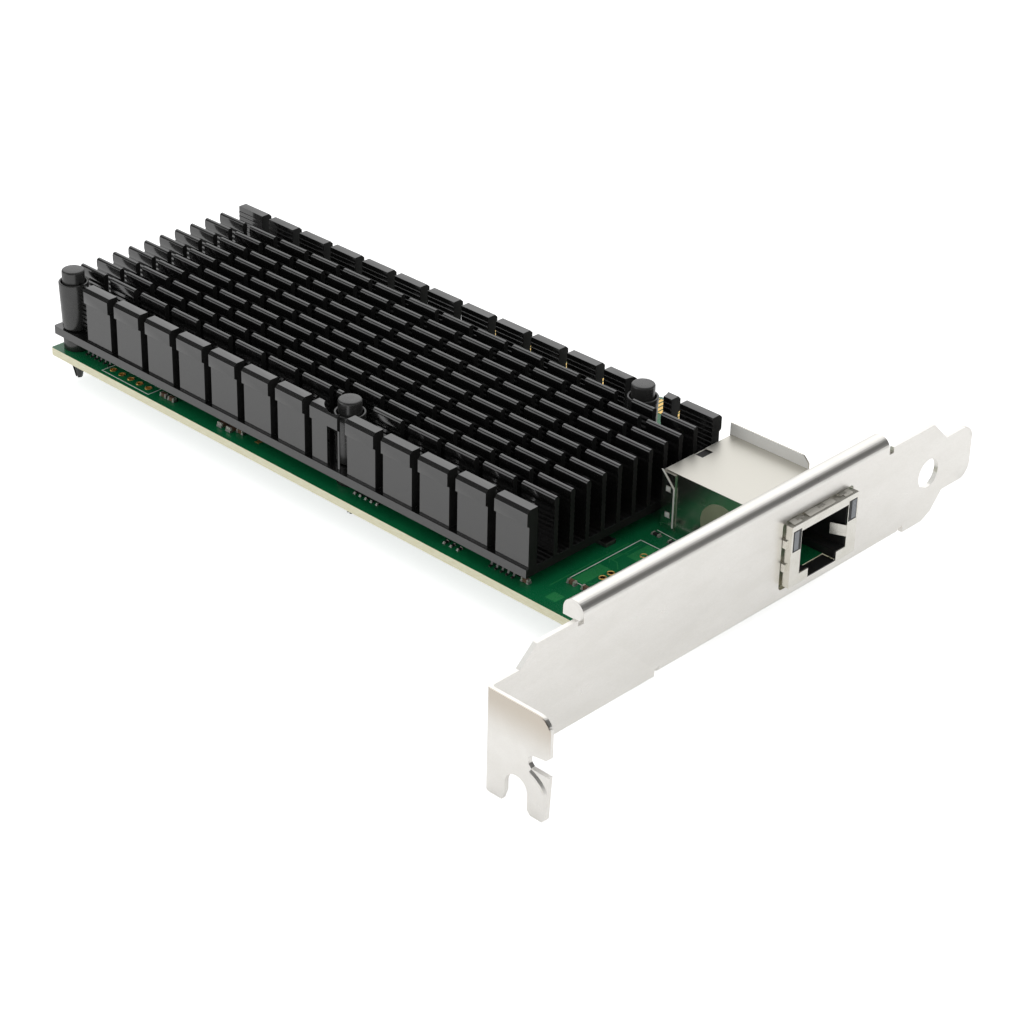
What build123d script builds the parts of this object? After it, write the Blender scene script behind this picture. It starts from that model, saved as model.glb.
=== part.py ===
from build123d import *
import os

os.makedirs("parts", exist_ok=True)

# A single-port network card for a server slot, in millimetres.
# The origin is at the card edge: x = 0 on the key notch's centre line, y = 0 at the end of the
# contacts, z = 0 on the board's component face. +X points out through the bracket, +Y from the
# board past the contact edge, and +Z up from the component face.

# Board
board_length = 148.7
board_height = 68.9
board_thickness = 1.57
board_corner = 0.4
key_to_bracket_end = 57.15      # key notch's centre to the board's bracket end
contact_edge_depth = 8.25       # how far the contact edge stands out of the board
key_width = 1.9
contact_pitch = 1.0
contact_width = 0.7
contact_length = 4.4
contact_setback = 1.4
contact_thickness = 0.05
first_contact = 1.5             # key notch's centre to the nearest contact on each side
contact_margin = 1.1            # last contact's centre to the end of the contact edge
short_contacts = 11
long_contacts = 38
edge_bevel = 1.2
edge_bevel_depth = 0.4

# Heat sink
sink_overhang = 0.2             # past the board's far-left end
sink_inset = 1.0                # back from the board's near edge
sink_width = 47.9
sink_gap = 2.55                 # component face to the underside of the base
base_thickness = 1.6
base_corner = 0.5
sink_height = 12.58             # underside of the base to the fin tops
ledge = 1.06                    # bare base at the left end
sink_to_port = 0.889            # right end of the base to the port's rear
cross_cuts = 13
cross_cut_width = 1.9
first_block = 6.89              # left end of the fins to the first cut
last_block = 7.43               # last cut to the right end of the fins
inner_rows = 10
row_pitch = 3.8
fin_thickness = 1.1
outer_thickness = 2.4
lip_depth = 0.5
lip_height = 2.9
lip_lean = 0.35                 # height of the slope under the lip
lip_bevel = 0.6

# Push pins
corner_pin_from_end = 3.45      # sink's left end to the corner pin's centre
corner_pin_from_edge = 2.7      # sink's near edge to the same
near_pin_from_end = 76.75       # sink's left end to the second pin's centre
near_pin_from_edge = 4.7
far_pin_from_end = 15.6         # sink's right end to the third pin's centre
far_pin_from_edge = 2.7         # sink's far edge to the same
shank_radius = 1.2
pin_clearance = 0.1
cap_radius = 2.13
cap_height = 4.4
cap_rise = 1.0                  # cap's top above the fins
cap_chamfer = 0.35
sleeve_radius = 2.75
sleeve_bevel = 0.6
sleeve_wall = 0.45
sleeve_floor_gap = 0.3          # cap's underside to the floor of the sleeve's mouth
rim_below_cap = 2.4             # cap's top to the sleeve's rim
spacer_radius = 2.5
barb_radius = 1.7
tip_radius = 0.63
tip_drop = 4.7                  # barb and taper below the board
split_width = 0.5
pocket_radius = 4.4
pocket_margin = 0.6             # room round the corner pin's sleeve

# Network port
port_length = 27.65
port_width = 17.4
port_height = 11.08
port_centre_y = -27.1
port_front_overhang = 2.8       # past the board's bracket end
port_front_drop = 0.4
shield_sheet = 0.3
shield_fit = 0.06
plug_width = 12.2
plug_bottom = 1.5
plug_top = 9.5
plug_depth = 15.5
latch_width = 7.4
latch_depth = 13.0
light_pipe_width = 1.1
light_pipe_height = 3.7
light_pipe_top = 10.0
light_pipe_length = 6.0
lip_length = 17.1
lip_rise = 2.2
lip_corner = 1.2
cover_wrap = 2.9
cover_window_width = 1.2
cover_window_height = 1.15
cover_windows = [2.2, 7.15]
notch_length = 2.2
notch_width = 2.8
leg_width = 1.2
leg_drop = 2.9
leg_places = [8.0, 20.5]        # from the port's rear
leg_clearance = 0.15
finger_width = 1.5
finger_length = 2.4
side_fingers = [3.2, 7.6]
top_fingers = [-5.6, 0.0, 5.6]
finger_clearance = 0.1
port_contact_count = 8
port_contact_pitch = 1.02
port_contact_width = 0.45
port_contact_thickness = 0.3
tail_width = 0.45
tail_drop = 2.8
tail_pitch = 2.24
tail_row_gap = 2.54
tail_rows = [5.0, 10.0]         # from the port's rear
tails_in_row = 6
tail_clearance = 0.15
contact_start = 4.0             # spring contacts, back from the port's front
contact_finish = 11.5
contact_fall = 2.8
pipe_from_side = 0.6
window_from_rear = 0.9
window_room = 0.1
cover_shortfall = 0.35          # cover's top edge below the can's top
sticker_radius = 4.2
sticker_thickness = 0.1
sticker_from_rear = 12.7
sticker_centre_z = 4.7

# Bracket
sheet = 0.86
bracket_stand_off = 0.34        # board's end to the back of the strip
strip_bottom = -3.99
strip_width = 18.42
ear_plane = -104.13
tongue_end = 15.89
narrow_top = 11.3
narrow_end = -97.6
wide_start = -94.0
bend_radius = 0.5
bend_straight = 0.6             # flat beside the ear's bend, before the strip and the ear start
ear_depth = 12.4
ear_bottom = -6.95
ear_corner = 1.5
slot_width = 4.5
slot_from_strip = 5.95
slot_crown = -1.3
side_notch_depth = 4.05
side_notch_bottom = 1.5
side_notch_top = 3.8
side_notch_corner = 0.6
side_notch_flare = 0.4          # the notch's upper side rises towards the edge
prong_flare = 0.6               # left prong's slanted inner corner
prong_flare_height = 1.8
prong_taper = 0.45              # right prong narrows towards its end
prong_corner = 0.7
hem_start = -83.8
hem_end = -8.5
hem_radius = 2.15
hem_leg = 1.2
relief_width = 1.2
relief_depth = 1.0
tongue_shoulder = 4.2
tongue_root = 8.15
tongue_top = 10.5
tongue_bottom = 0.31
tongue_corner = 1.6
shoulder_cut = 1.4              # the lower shoulder's two small facets
shoulder_rise = 1.1
tongue_hole_radius = 2.75
tongue_hole_y = 3.6
tongue_hole_z = 5.2
cut_out_side_gap = 0.5
cut_out_top_gap = 0.45
cut_out_bottom = -1.4
cut_out_corner = 0.8
flange_start = -65.5
flange_end = -3.8
flange_depth = 3.2
lug_depth = 9.6
lug_width = 9.0
lug_corner = 1.0
lug_overlap = 1.2
lug_inset = 3.2                 # end of the flange to the near side of each lug
screw_from_lug_end = 4.2
collar_radius = 2.4
screw_radius = 1.5
screw_clearance = 0.1
screw_fit = 0.03
screw_head_radius = 2.6
screw_head_height = 1.8
screw_length = 4.3
recess_width = 0.7
recess_depth = 0.9

# Chips under the heat sink
pad_thickness = 0.5
controller_size = 25.0
controller_inset = 62.96        # sink's right end to the controller's centre
controller_rise = 2.05          # sink's middle line to the same
line_chip_size = 21.0
line_chip_inset = 18.96
line_chip_rise = 5.05
chip_lid_inset = 2.5
chip_substrate = 0.8
lead_width = 0.4
lead_length = 1.0
lead_thickness = 0.2
body_inset = 0.1                # a chip capacitor's body inside its end caps
coil_size = 5.4
coil_corner = 0.6
under_sink_room = 0.2           # tops of the tall parts to the heat sink's base
regulator_size = 5.0
regulator_height = 0.9
crystal_length = 3.2
crystal_width = 2.5
crystal_height = 0.8
decoupling_pitch = 3.6
decoupling_length = 1.0
decoupling_width = 0.5
decoupling_height = 0.5

# Derived places
board_right = key_to_bracket_end
board_left = board_right - board_length
board_near = -board_height
board_back = -board_thickness
sink_left = board_left - sink_overhang
sink_near = board_near + sink_inset
sink_far = sink_near + sink_width
sink_middle = (sink_near + sink_far) / 2
base_top = sink_gap + base_thickness
fin_top = sink_gap + sink_height
strip_back = board_right + bracket_stand_off
strip_face = strip_back + sheet
strip_top = strip_bottom + strip_width
port_front = board_right + port_front_overhang
port_rear = port_front - port_length
sink_right = port_rear - sink_to_port
fins_left = sink_left + ledge
first_cut = fins_left + first_block + cross_cut_width / 2
last_cut = sink_right - last_block - cross_cut_width / 2
cut_pitch = (last_cut - first_cut) / (cross_cuts - 1)
port_near = port_centre_y - port_width / 2
port_far = port_centre_y + port_width / 2
chip_height = sink_gap - pad_thickness
tall_height = sink_gap - under_sink_room
pins = [
    (sink_left + corner_pin_from_end, sink_near + corner_pin_from_edge),
    (sink_left + near_pin_from_end, sink_near + near_pin_from_edge),
    (sink_right - far_pin_from_end, sink_far - far_pin_from_edge),
]
pin_bore = shank_radius + pin_clearance
controller_spot = (sink_right - controller_inset, sink_middle + controller_rise)
line_chip_spot = (sink_right - line_chip_inset, sink_middle + line_chip_rise)
short_edge_end = first_contact + (short_contacts - 1) * contact_pitch + contact_margin
long_edge_end = -first_contact - (long_contacts - 1) * contact_pitch - contact_margin


def on_board(places):
    """Places measured from the board's near-left corner, in the part's own frame."""
    return [(board_left + right, board_near + up) for right, up in places]


def from_bracket(places):
    """Places measured from the board's near corner at the bracket end."""
    return [(board_right - left, board_near + up) for left, up in places]


def beside_port(places):
    """Places measured back from the board's bracket end and down from the port's near side."""
    return [(board_right - left, port_near - down) for left, down in places]


def around(spot, places):
    """Places measured from the centre of another part."""
    return [(spot[0] + right, spot[1] + up) for right, up in places]


# Plated holes: a header place with no pins, and three lone holes beside the port
header_pitch = 2.54
header_holes = 5
header_first = (15.45, 2.55)
hole_radius = 0.5
ring_radius = 0.85
ring_sides = 10
ring_thickness = 0.05
header_spots = on_board(
    [(header_first[0] + header_pitch * number, header_first[1]) for number in range(header_holes)]
)
lone_spots = beside_port([(20.15, 19.7), (20.15, 17.7), (20.05, 9.7)])

# Bracket screws pass through the board into collars on the lower flange
lug_centres = [flange_start + lug_inset + lug_width / 2, flange_end - lug_inset - lug_width / 2]
screw_x = strip_back - lug_depth + screw_from_lug_end
screw_spots = [(screw_x, y) for y in lug_centres]

# The port's tails stand in two double rows, each shifted by half a pitch
tail_spots = []
for from_rear in tail_rows:
    for number in range(tails_in_row):
        stagger = tail_row_gap / 2 if number % 2 else -tail_row_gap / 2
        tail_y = port_centre_y + tail_pitch * (number - (tails_in_row - 1) / 2)
        tail_spots.append((port_rear + from_rear + stagger, tail_y))
leg_spots = []
for from_rear in leg_places:
    for side in (port_near + shield_sheet / 2, port_far - shield_sheet / 2):
        leg_spots.append((port_rear + from_rear, side))

# Circuit board, with its contact edge, key notch and drilled holes
with BuildPart() as circuit_board:
    with BuildSketch(Plane.XY.offset(board_back)):
        with BuildLine():
            Polyline(
                (board_left, board_near),
                (board_right, board_near),
                (board_right, -contact_edge_depth),
                (short_edge_end, -contact_edge_depth),
                (short_edge_end, 0),
                (key_width / 2, 0),
                (key_width / 2, -contact_edge_depth),
                (-key_width / 2, -contact_edge_depth),
                (-key_width / 2, 0),
                (long_edge_end, 0),
                (long_edge_end, -contact_edge_depth),
                (board_left, -contact_edge_depth),
                close=True,
            )
        make_face()
        with Locations(*pins):
            Circle(pin_bore, mode=Mode.SUBTRACT)
        with Locations(*header_spots, *lone_spots):
            RegularPolygon(hole_radius, ring_sides, mode=Mode.SUBTRACT)
        with Locations(*screw_spots):
            Circle(screw_radius + screw_clearance, mode=Mode.SUBTRACT)
        with Locations(*tail_spots):
            Rectangle(tail_width + 2 * tail_clearance, tail_width + 2 * tail_clearance, mode=Mode.SUBTRACT)
        with Locations(*leg_spots):
            Rectangle(leg_width + 2 * leg_clearance, shield_sheet + 2 * leg_clearance, mode=Mode.SUBTRACT)
    extrude(amount=board_thickness)
    fillet(
        circuit_board.edges().filter_by(Axis.Z).group_by(Axis.X)[0],
        radius=board_corner,
    )
    for face_level, into in ((0, -1), (board_back, 1)):
        with BuildSketch(Plane.YZ.offset(long_edge_end)):
            with BuildLine():
                Polyline(
                    (-edge_bevel, face_level),
                    (0, face_level),
                    (0, face_level + into * edge_bevel_depth),
                    close=True,
                )
            make_face()
        extrude(amount=short_edge_end - long_edge_end, mode=Mode.SUBTRACT)
circuit_board.part.label = "circuit_board"
export_step(circuit_board.part, "parts/circuit_board.step")

# Gold contacts on both faces of the contact edge
contact_xs = [first_contact + contact_pitch * number for number in range(short_contacts)]
contact_xs += [-first_contact - contact_pitch * number for number in range(long_contacts)]
contact_spots = [(x, -contact_setback - contact_length / 2) for x in contact_xs]
for name, level in (("contacts_component_side", 0), ("contacts_solder_side", board_back - contact_thickness)):
    with BuildPart() as contacts:
        with BuildSketch(Plane.XY.offset(level)):
            with Locations(*contact_spots):
                Rectangle(contact_width, contact_length)
        extrude(amount=contact_thickness)
    contacts.part.label = name
    export_step(contacts.part, "parts/" + name + ".step")

# Rings of the plated holes
with BuildPart() as plated_rings:
    with BuildSketch():
        with Locations(*header_spots, *lone_spots):
            RegularPolygon(ring_radius, ring_sides)
            RegularPolygon(hole_radius, ring_sides, mode=Mode.SUBTRACT)
    extrude(amount=ring_thickness)
plated_rings.part.label = "plated_rings"
export_step(plated_rings.part, "parts/plated_rings.step")

# Heat sink: one extrusion along X, then cut across into short fins
with BuildPart() as heat_sink:
    with BuildSketch(Plane.YZ.offset(sink_left)):
        with Locations((sink_middle, sink_gap + base_thickness / 2)):
            Rectangle(sink_width, base_thickness)
    extrude(amount=sink_right - sink_left)
    left_corner = heat_sink.edges().filter_by(Axis.Z).group_by(Axis.X)[0].sort_by(Axis.Y)[0]
    fillet(left_corner, radius=base_corner)
    with BuildSketch(Plane.YZ.offset(fins_left)):
        for side in (-1, 1):
            edge = sink_middle + side * sink_width / 2
            with BuildLine():
                Polyline(
                    (edge - side * lip_depth, base_top),
                    (edge - side * lip_depth, fin_top - lip_height - lip_lean),
                    (edge, fin_top - lip_height),
                    (edge, fin_top - lip_bevel),
                    (edge - side * lip_bevel, fin_top),
                    (edge - side * outer_thickness, fin_top),
                    (edge - side * outer_thickness, base_top),
                    close=True,
                )
            make_face()
        with Locations((sink_middle, (base_top + fin_top) / 2)):
            with GridLocations(row_pitch, 1, inner_rows, 1):
                Rectangle(fin_thickness, fin_top - base_top)
    extrude(amount=sink_right - fins_left)
    with BuildSketch(Plane.XY.offset(base_top)):
        for number in range(cross_cuts):
            with Locations((first_cut + number * cut_pitch, sink_middle)):
                Rectangle(cross_cut_width, 2 * sink_width)
        with Locations(*pins[1:]):
            Circle(pocket_radius)
        corner_room = pins[0][1] + sleeve_radius + pocket_margin - sink_near
        with Locations((fins_left, sink_near)):
            Rectangle(2 * (first_cut - fins_left), 2 * corner_room)
    extrude(amount=sink_height, mode=Mode.SUBTRACT)
    with BuildSketch(Plane.XY.offset(sink_gap)):
        with Locations(*pins):
            Circle(pin_bore)
    extrude(amount=base_thickness, mode=Mode.SUBTRACT)
heat_sink.part.label = "heat_sink"
export_step(heat_sink.part, "parts/heat_sink.step")

# Push pins: a cap in a cup-shaped sleeve, and a shank with a split, barbed tip below the board
cap_top = fin_top + cap_rise
cap_bottom = cap_top - cap_height
sleeve_rim = cap_top - rim_below_cap
sleeve_floor = cap_bottom - sleeve_floor_gap
for number, (pin_x, pin_y) in enumerate(pins, start=1):
    pin_plane = Plane(origin=(pin_x, pin_y, 0), x_dir=(1, 0, 0), z_dir=(0, -1, 0))
    with BuildPart() as push_pin:
        with BuildSketch(pin_plane):
            with BuildLine():
                Polyline(
                    (0, board_back - tip_drop),
                    (tip_radius, board_back - tip_drop),
                    (barb_radius, board_back - pin_clearance),
                    (shank_radius, board_back - pin_clearance),
                    (shank_radius, cap_bottom),
                    (cap_radius, cap_bottom),
                    (cap_radius, cap_top - cap_chamfer),
                    (cap_radius - cap_chamfer, cap_top),
                    (0, cap_top),
                    close=True,
                )
            make_face()
        revolve(axis=Axis((pin_x, pin_y, 0), (0, 0, 1)))
        with BuildSketch(Plane.XY.offset(board_back - tip_drop)):
            with Locations((pin_x, pin_y)):
                Rectangle(split_width, 3 * barb_radius)
        extrude(amount=tip_drop, mode=Mode.SUBTRACT)
    push_pin.part.label = "push_pin_" + str(number)
    export_step(push_pin.part, "parts/push_pin_" + str(number) + ".step")

    with BuildPart() as pin_sleeve:
        with BuildSketch(pin_plane):
            with BuildLine():
                Polyline(
                    (pin_bore, base_top),
                    (sleeve_radius - sleeve_bevel, base_top),
                    (sleeve_radius, base_top + sleeve_bevel),
                    (sleeve_radius, sleeve_rim),
                    (sleeve_radius - sleeve_wall, sleeve_rim),
                    (sleeve_radius - sleeve_wall, sleeve_floor),
                    (pin_bore, sleeve_floor),
                    close=True,
                )
            make_face()
        revolve(axis=Axis((pin_x, pin_y, 0), (0, 0, 1)))
    pin_sleeve.part.label = "pin_sleeve_" + str(number)
    export_step(pin_sleeve.part, "parts/pin_sleeve_" + str(number) + ".step")

    with BuildPart() as pin_spacer:
        with BuildSketch():
            with Locations((pin_x, pin_y)):
                Circle(spacer_radius)
                Circle(pin_bore, mode=Mode.SUBTRACT)
        extrude(amount=sink_gap)
    pin_spacer.part.label = "pin_spacer_" + str(number)
    export_step(pin_spacer.part, "parts/pin_spacer_" + str(number) + ".step")

# Controller and line chip, each under a soft pad that touches the heat sink's base
for name, size, chip_spot in (
    ("controller_chip", controller_size, controller_spot),
    ("line_chip", line_chip_size, line_chip_spot),
):
    with BuildPart() as chip:
        with BuildSketch():
            with Locations(chip_spot):
                Rectangle(size, size)
        extrude(amount=chip_substrate)
        with BuildSketch(Plane.XY.offset(chip_substrate)):
            with Locations(chip_spot):
                Rectangle(size - 2 * chip_lid_inset, size - 2 * chip_lid_inset)
        extrude(amount=chip_height - chip_substrate)
    chip.part.label = name
    export_step(chip.part, "parts/" + name + ".step")
    with BuildPart() as thermal_pad:
        with BuildSketch(Plane.XY.offset(chip_height)):
            with Locations(chip_spot):
                Rectangle(size - 2 * chip_lid_inset, size - 2 * chip_lid_inset)
        extrude(amount=pad_thickness)
    thermal_pad.part.label = name + "_pad"
    export_step(thermal_pad.part, "parts/" + name + "_pad.step")

# Small parts on the board: each has a body between two end caps
def passives(places, length, width, height, cap, along_x=True):
    """Adds chip capacitors or resistors to the part being built, standing on the component face."""
    size = (length, width - body_inset) if along_x else (width - body_inset, length)
    end = (cap, width) if along_x else (width, cap)
    shift = (length - cap) / 2
    with BuildSketch() as bodies:
        with Locations(*places):
            Rectangle(*size)
    extrude(bodies.sketch, amount=height - body_inset / 2)
    with BuildSketch() as caps:
        for x, y in places:
            for way in (-shift, shift):
                with Locations((x + way, y) if along_x else (x, y + way)):
                    Rectangle(*end)
    extrude(caps.sketch, amount=height)


def plain_passives(places, length, width, height, along_x=True):
    """Adds chip parts that stand out of sight, each as one block, to the part being built."""
    size = (length, width) if along_x else (width, length)
    with BuildSketch() as blocks:
        with Locations(*places):
            Rectangle(*size)
    extrude(blocks.sketch, amount=height)


with BuildPart() as chip_capacitors:
    passives(on_board([(30.2, 2.5), (32.4, 2.5), (50.4, 3.4)]), 1.6, 0.8, 0.8, 0.35)
    passives(on_board([(46.0, 3.1), (48.4, 3.1)]), 2.0, 1.25, 0.9, 0.45, along_x=False)
    passives(beside_port([(22.35, 24.7), (19.35, 24.55)]), 1.6, 0.8, 0.8, 0.35)
    passives(from_bracket([(27.95, 3.4)]), 1.6, 0.8, 0.8, 0.35)
    above_controller = around(controller_spot, [(4.0 * number - 10.0, 14.0) for number in range(6)])
    beside_controller = around(controller_spot, [(-14.0, 3.0 * number - 11.0) for number in range(6)])
    plain_passives(above_controller + beside_controller, 1.6, 0.8, 0.8)
chip_capacitors.part.label = "chip_capacitors"
export_step(chip_capacitors.part, "parts/chip_capacitors.step")

with BuildPart() as chip_resistors:
    passives(beside_port([(23.15, 3.1), (19.4, 3.25)]), 1.6, 0.8, 0.45, 0.3)
    edge_row = on_board([(80.3 + 1.37 * number, 3.6) for number in range(5)])
    passives(edge_row, 1.0, 0.5, 0.35, 0.25, along_x=False)
    end_row = from_bracket([(42.7 + 1.6 * number, 2.9) for number in range(3)])
    passives(end_row, 1.0, 0.5, 0.35, 0.25, along_x=False)
    beside_line_chip = around(line_chip_spot, [(-13.5, 2.0 * number - 10.0) for number in range(9)])
    plain_passives(beside_line_chip, 1.0, 0.5, 0.35)
chip_resistors.part.label = "chip_resistors"
export_step(chip_resistors.part, "parts/chip_resistors.step")

# Pairs of coupling capacitors in the lanes to the contact edge
with BuildPart() as coupling_capacitors:
    pair_places = [(-4.5 - 4.0 * number + way, -15.5) for number in range(8) for way in (-0.5, 0.5)]
    plain_passives(pair_places, 1.0, 0.5, 0.5, along_x=False)
coupling_capacitors.part.label = "coupling_capacitors"
export_step(coupling_capacitors.part, "parts/coupling_capacitors.step")


def leaded_chip(spot, length, width, height, leads, lead_pitch):
    """Adds a chip with leads along both long sides to the part being built."""
    with BuildSketch(Plane.XY.offset(lead_thickness / 2)) as body:
        with Locations(spot):
            Rectangle(length, width)
    extrude(body.sketch, amount=height - lead_thickness / 2)
    for side in (-1, 1):
        with BuildSketch() as feet:
            with Locations((spot[0], spot[1] + side * (width + lead_length) / 2)):
                with GridLocations(lead_pitch, 1, leads, 1):
                    Rectangle(lead_width, lead_length)
        extrude(feet.sketch, amount=lead_thickness)
        with BuildSketch() as knees:
            with Locations((spot[0], spot[1] + side * (width + lead_thickness) / 2)):
                with GridLocations(lead_pitch, 1, leads, 1):
                    Rectangle(lead_width, lead_thickness)
        extrude(knees.sketch, amount=height / 2)


with BuildPart() as memory_chip:
    leaded_chip(on_board([(24.0, 13.0)])[0], 4.9, 3.9, 1.6, 4, 1.27)
memory_chip.part.label = "memory_chip"
export_step(memory_chip.part, "parts/memory_chip.step")

with BuildPart() as power_switch_chip:
    leaded_chip(on_board([(10.4, 5.6)])[0], 8.0, 3.9, 1.5, 6, 1.27)
power_switch_chip.part.label = "power_switch_chip"
export_step(power_switch_chip.part, "parts/power_switch_chip.step")

with BuildPart() as filter_block:
    leaded_chip(from_bracket([(32.9, 5.2)])[0], 6.7, 3.4, 1.7, 5, 1.27)
filter_block.part.label = "filter_block"
export_step(filter_block.part, "parts/filter_block.step")

# Power parts, low enough to stand under the heat sink
with BuildPart() as power_coils:
    with BuildSketch() as coils:
        with Locations(*on_board([(14.0, 22.0), (14.0, 30.0), (14.0, 38.0), (28.0, 38.0)])):
            Rectangle(coil_size, coil_size)
        chamfer(coils.vertices(), length=coil_corner)
    extrude(amount=tall_height)
power_coils.part.label = "power_coils"
export_step(power_coils.part, "parts/power_coils.step")

with BuildPart() as bulk_capacitors:
    bulk_places = on_board([(26.0, 22.0), (26.0, 28.0)]) + around(line_chip_spot, [(-24.0, 10.0)])
    passives(bulk_places, 7.3, 4.3, tall_height, 1.1)
bulk_capacitors.part.label = "bulk_capacitors"
export_step(bulk_capacitors.part, "parts/bulk_capacitors.step")

with BuildPart() as regulator_chips:
    with BuildSketch():
        with Locations(*on_board([(21.0, 34.5), (7.0, 26.0)]), *around(line_chip_spot, [(-21.0, 0)])):
            Rectangle(regulator_size, regulator_size)
    extrude(amount=regulator_height)
regulator_chips.part.label = "regulator_chips"
export_step(regulator_chips.part, "parts/regulator_chips.step")

with BuildPart() as clock_crystals:
    with BuildSketch():
        with Locations(*around(line_chip_spot, [(-18.0, -8.0)]), *from_bracket([(27.7, 22.0)])):
            Rectangle(crystal_length, crystal_width)
    extrude(amount=crystal_height)
clock_crystals.part.label = "clock_crystals"
export_step(clock_crystals.part, "parts/clock_crystals.step")

# Decoupling parts on the solder side, under the two large chips
with BuildPart() as solder_side_parts:
    with BuildSketch(Plane.XY.offset(board_back)):
        for place in (controller_spot, line_chip_spot):
            with Locations(place):
                with GridLocations(decoupling_pitch, decoupling_pitch, 4, 4):
                    Rectangle(decoupling_length, decoupling_width)
    extrude(amount=-decoupling_height)
solder_side_parts.part.label = "solder_side_parts"
export_step(solder_side_parts.part, "parts/solder_side_parts.step")

# Port's metal can: a folded channel with a front frame, board legs and a raised lip
can_rear = port_rear + shield_sheet
pipe_centres = [
    port_near + pipe_from_side + light_pipe_width / 2,
    port_far - pipe_from_side - light_pipe_width / 2,
]
pipe_centre_z = light_pipe_top - light_pipe_height / 2
with BuildPart() as port_can:
    with BuildSketch(Plane.YZ.offset(can_rear)):
        with Locations((port_centre_y, port_height / 2)):
            Rectangle(port_width, port_height)
        with Locations((port_centre_y, port_height / 2 - shield_sheet)):
            Rectangle(port_width - 2 * shield_sheet, port_height, mode=Mode.SUBTRACT)
    extrude(amount=port_front - can_rear)
    with BuildSketch(Plane.YZ.offset(board_right + leg_clearance)):
        for side in (port_near + shield_sheet / 2, port_far - shield_sheet / 2):
            with Locations((side, -port_front_drop / 2)):
                Rectangle(shield_sheet, port_front_drop)
    extrude(amount=port_front - board_right - leg_clearance)
    with BuildSketch(Plane.YZ.offset(port_front - shield_sheet)):
        with Locations((port_centre_y, (port_height - port_front_drop) / 2)):
            Rectangle(port_width, port_height + port_front_drop)
        with Locations((port_centre_y, (plug_bottom + plug_top) / 2)):
            Rectangle(plug_width, plug_top - plug_bottom, mode=Mode.SUBTRACT)
        with Locations((port_centre_y, (plug_bottom - port_front_drop) / 2)):
            Rectangle(latch_width, plug_bottom + port_front_drop, mode=Mode.SUBTRACT)
        with Locations(*[(y, pipe_centre_z) for y in pipe_centres]):
            Rectangle(light_pipe_width, light_pipe_height, mode=Mode.SUBTRACT)
    extrude(amount=shield_sheet)
    with BuildSketch(Plane.XZ.offset(-port_far)):
        with BuildLine():
            Polyline(
                (port_rear, port_height - shield_sheet),
                (port_rear + lip_length, port_height - shield_sheet),
                (port_rear + lip_length, port_height + lip_rise - lip_corner),
                (port_rear + lip_length - lip_corner, port_height + lip_rise),
                (port_rear, port_height + lip_rise),
                close=True,
            )
        make_face()
    extrude(amount=shield_sheet)
    with BuildSketch(Plane.XY.offset(port_height - shield_sheet)):
        with Locations((port_rear + notch_length / 2, port_centre_y)):
            Rectangle(notch_length, notch_width)
    extrude(amount=shield_sheet, mode=Mode.SUBTRACT)
    with BuildSketch(Plane.XY.offset(-leg_drop)):
        with Locations(*leg_spots):
            Rectangle(leg_width, shield_sheet)
    extrude(amount=leg_drop)
    for level in cover_windows:
        with BuildSketch(Plane.YZ.offset(port_rear + window_from_rear + window_room)):
            for side in (port_near - shield_sheet / 2, port_far + shield_sheet / 2):
                with Locations((side, level + cover_window_height / 2)):
                    Rectangle(shield_sheet, cover_window_height - 2 * window_room)
        extrude(amount=cover_window_width - 2 * window_room)
    fingers_from = strip_back - (finger_length - sheet) / 2
    with BuildSketch(Plane.XY.offset(port_height)):
        with Locations(*[(fingers_from + finger_length / 2, port_centre_y + y) for y in top_fingers]):
            Rectangle(finger_length, finger_width)
    extrude(amount=cut_out_top_gap - finger_clearance)
    for level in side_fingers:
        with BuildSketch(Plane.YZ.offset(fingers_from)):
            for side in (-1, 1):
                reach = cut_out_side_gap - finger_clearance
                with Locations((port_centre_y + side * (port_width + reach) / 2, level)):
                    Rectangle(reach, finger_width)
        extrude(amount=finger_length)
port_can.part.label = "port_can"
export_step(port_can.part, "parts/port_can.step")

# Rear cover of the can, wrapped round both rear corners
with BuildPart() as port_rear_cover:
    with BuildSketch():
        with Locations((port_rear + cover_wrap / 2, port_centre_y)):
            Rectangle(cover_wrap, port_width + 2 * shield_sheet)
        with Locations((port_rear + shield_sheet + cover_wrap / 2, port_centre_y)):
            Rectangle(cover_wrap, port_width, mode=Mode.SUBTRACT)
    extrude(amount=port_height - cover_shortfall)
    for level in cover_windows:
        with BuildSketch(Plane.YZ.offset(port_rear + window_from_rear)):
            with Locations((port_centre_y, level + cover_window_height / 2)):
                Rectangle(port_width + 4 * shield_sheet, cover_window_height)
        extrude(amount=cover_window_width, mode=Mode.SUBTRACT)
port_rear_cover.part.label = "port_rear_cover"
export_step(port_rear_cover.part, "parts/port_rear_cover.step")

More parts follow.
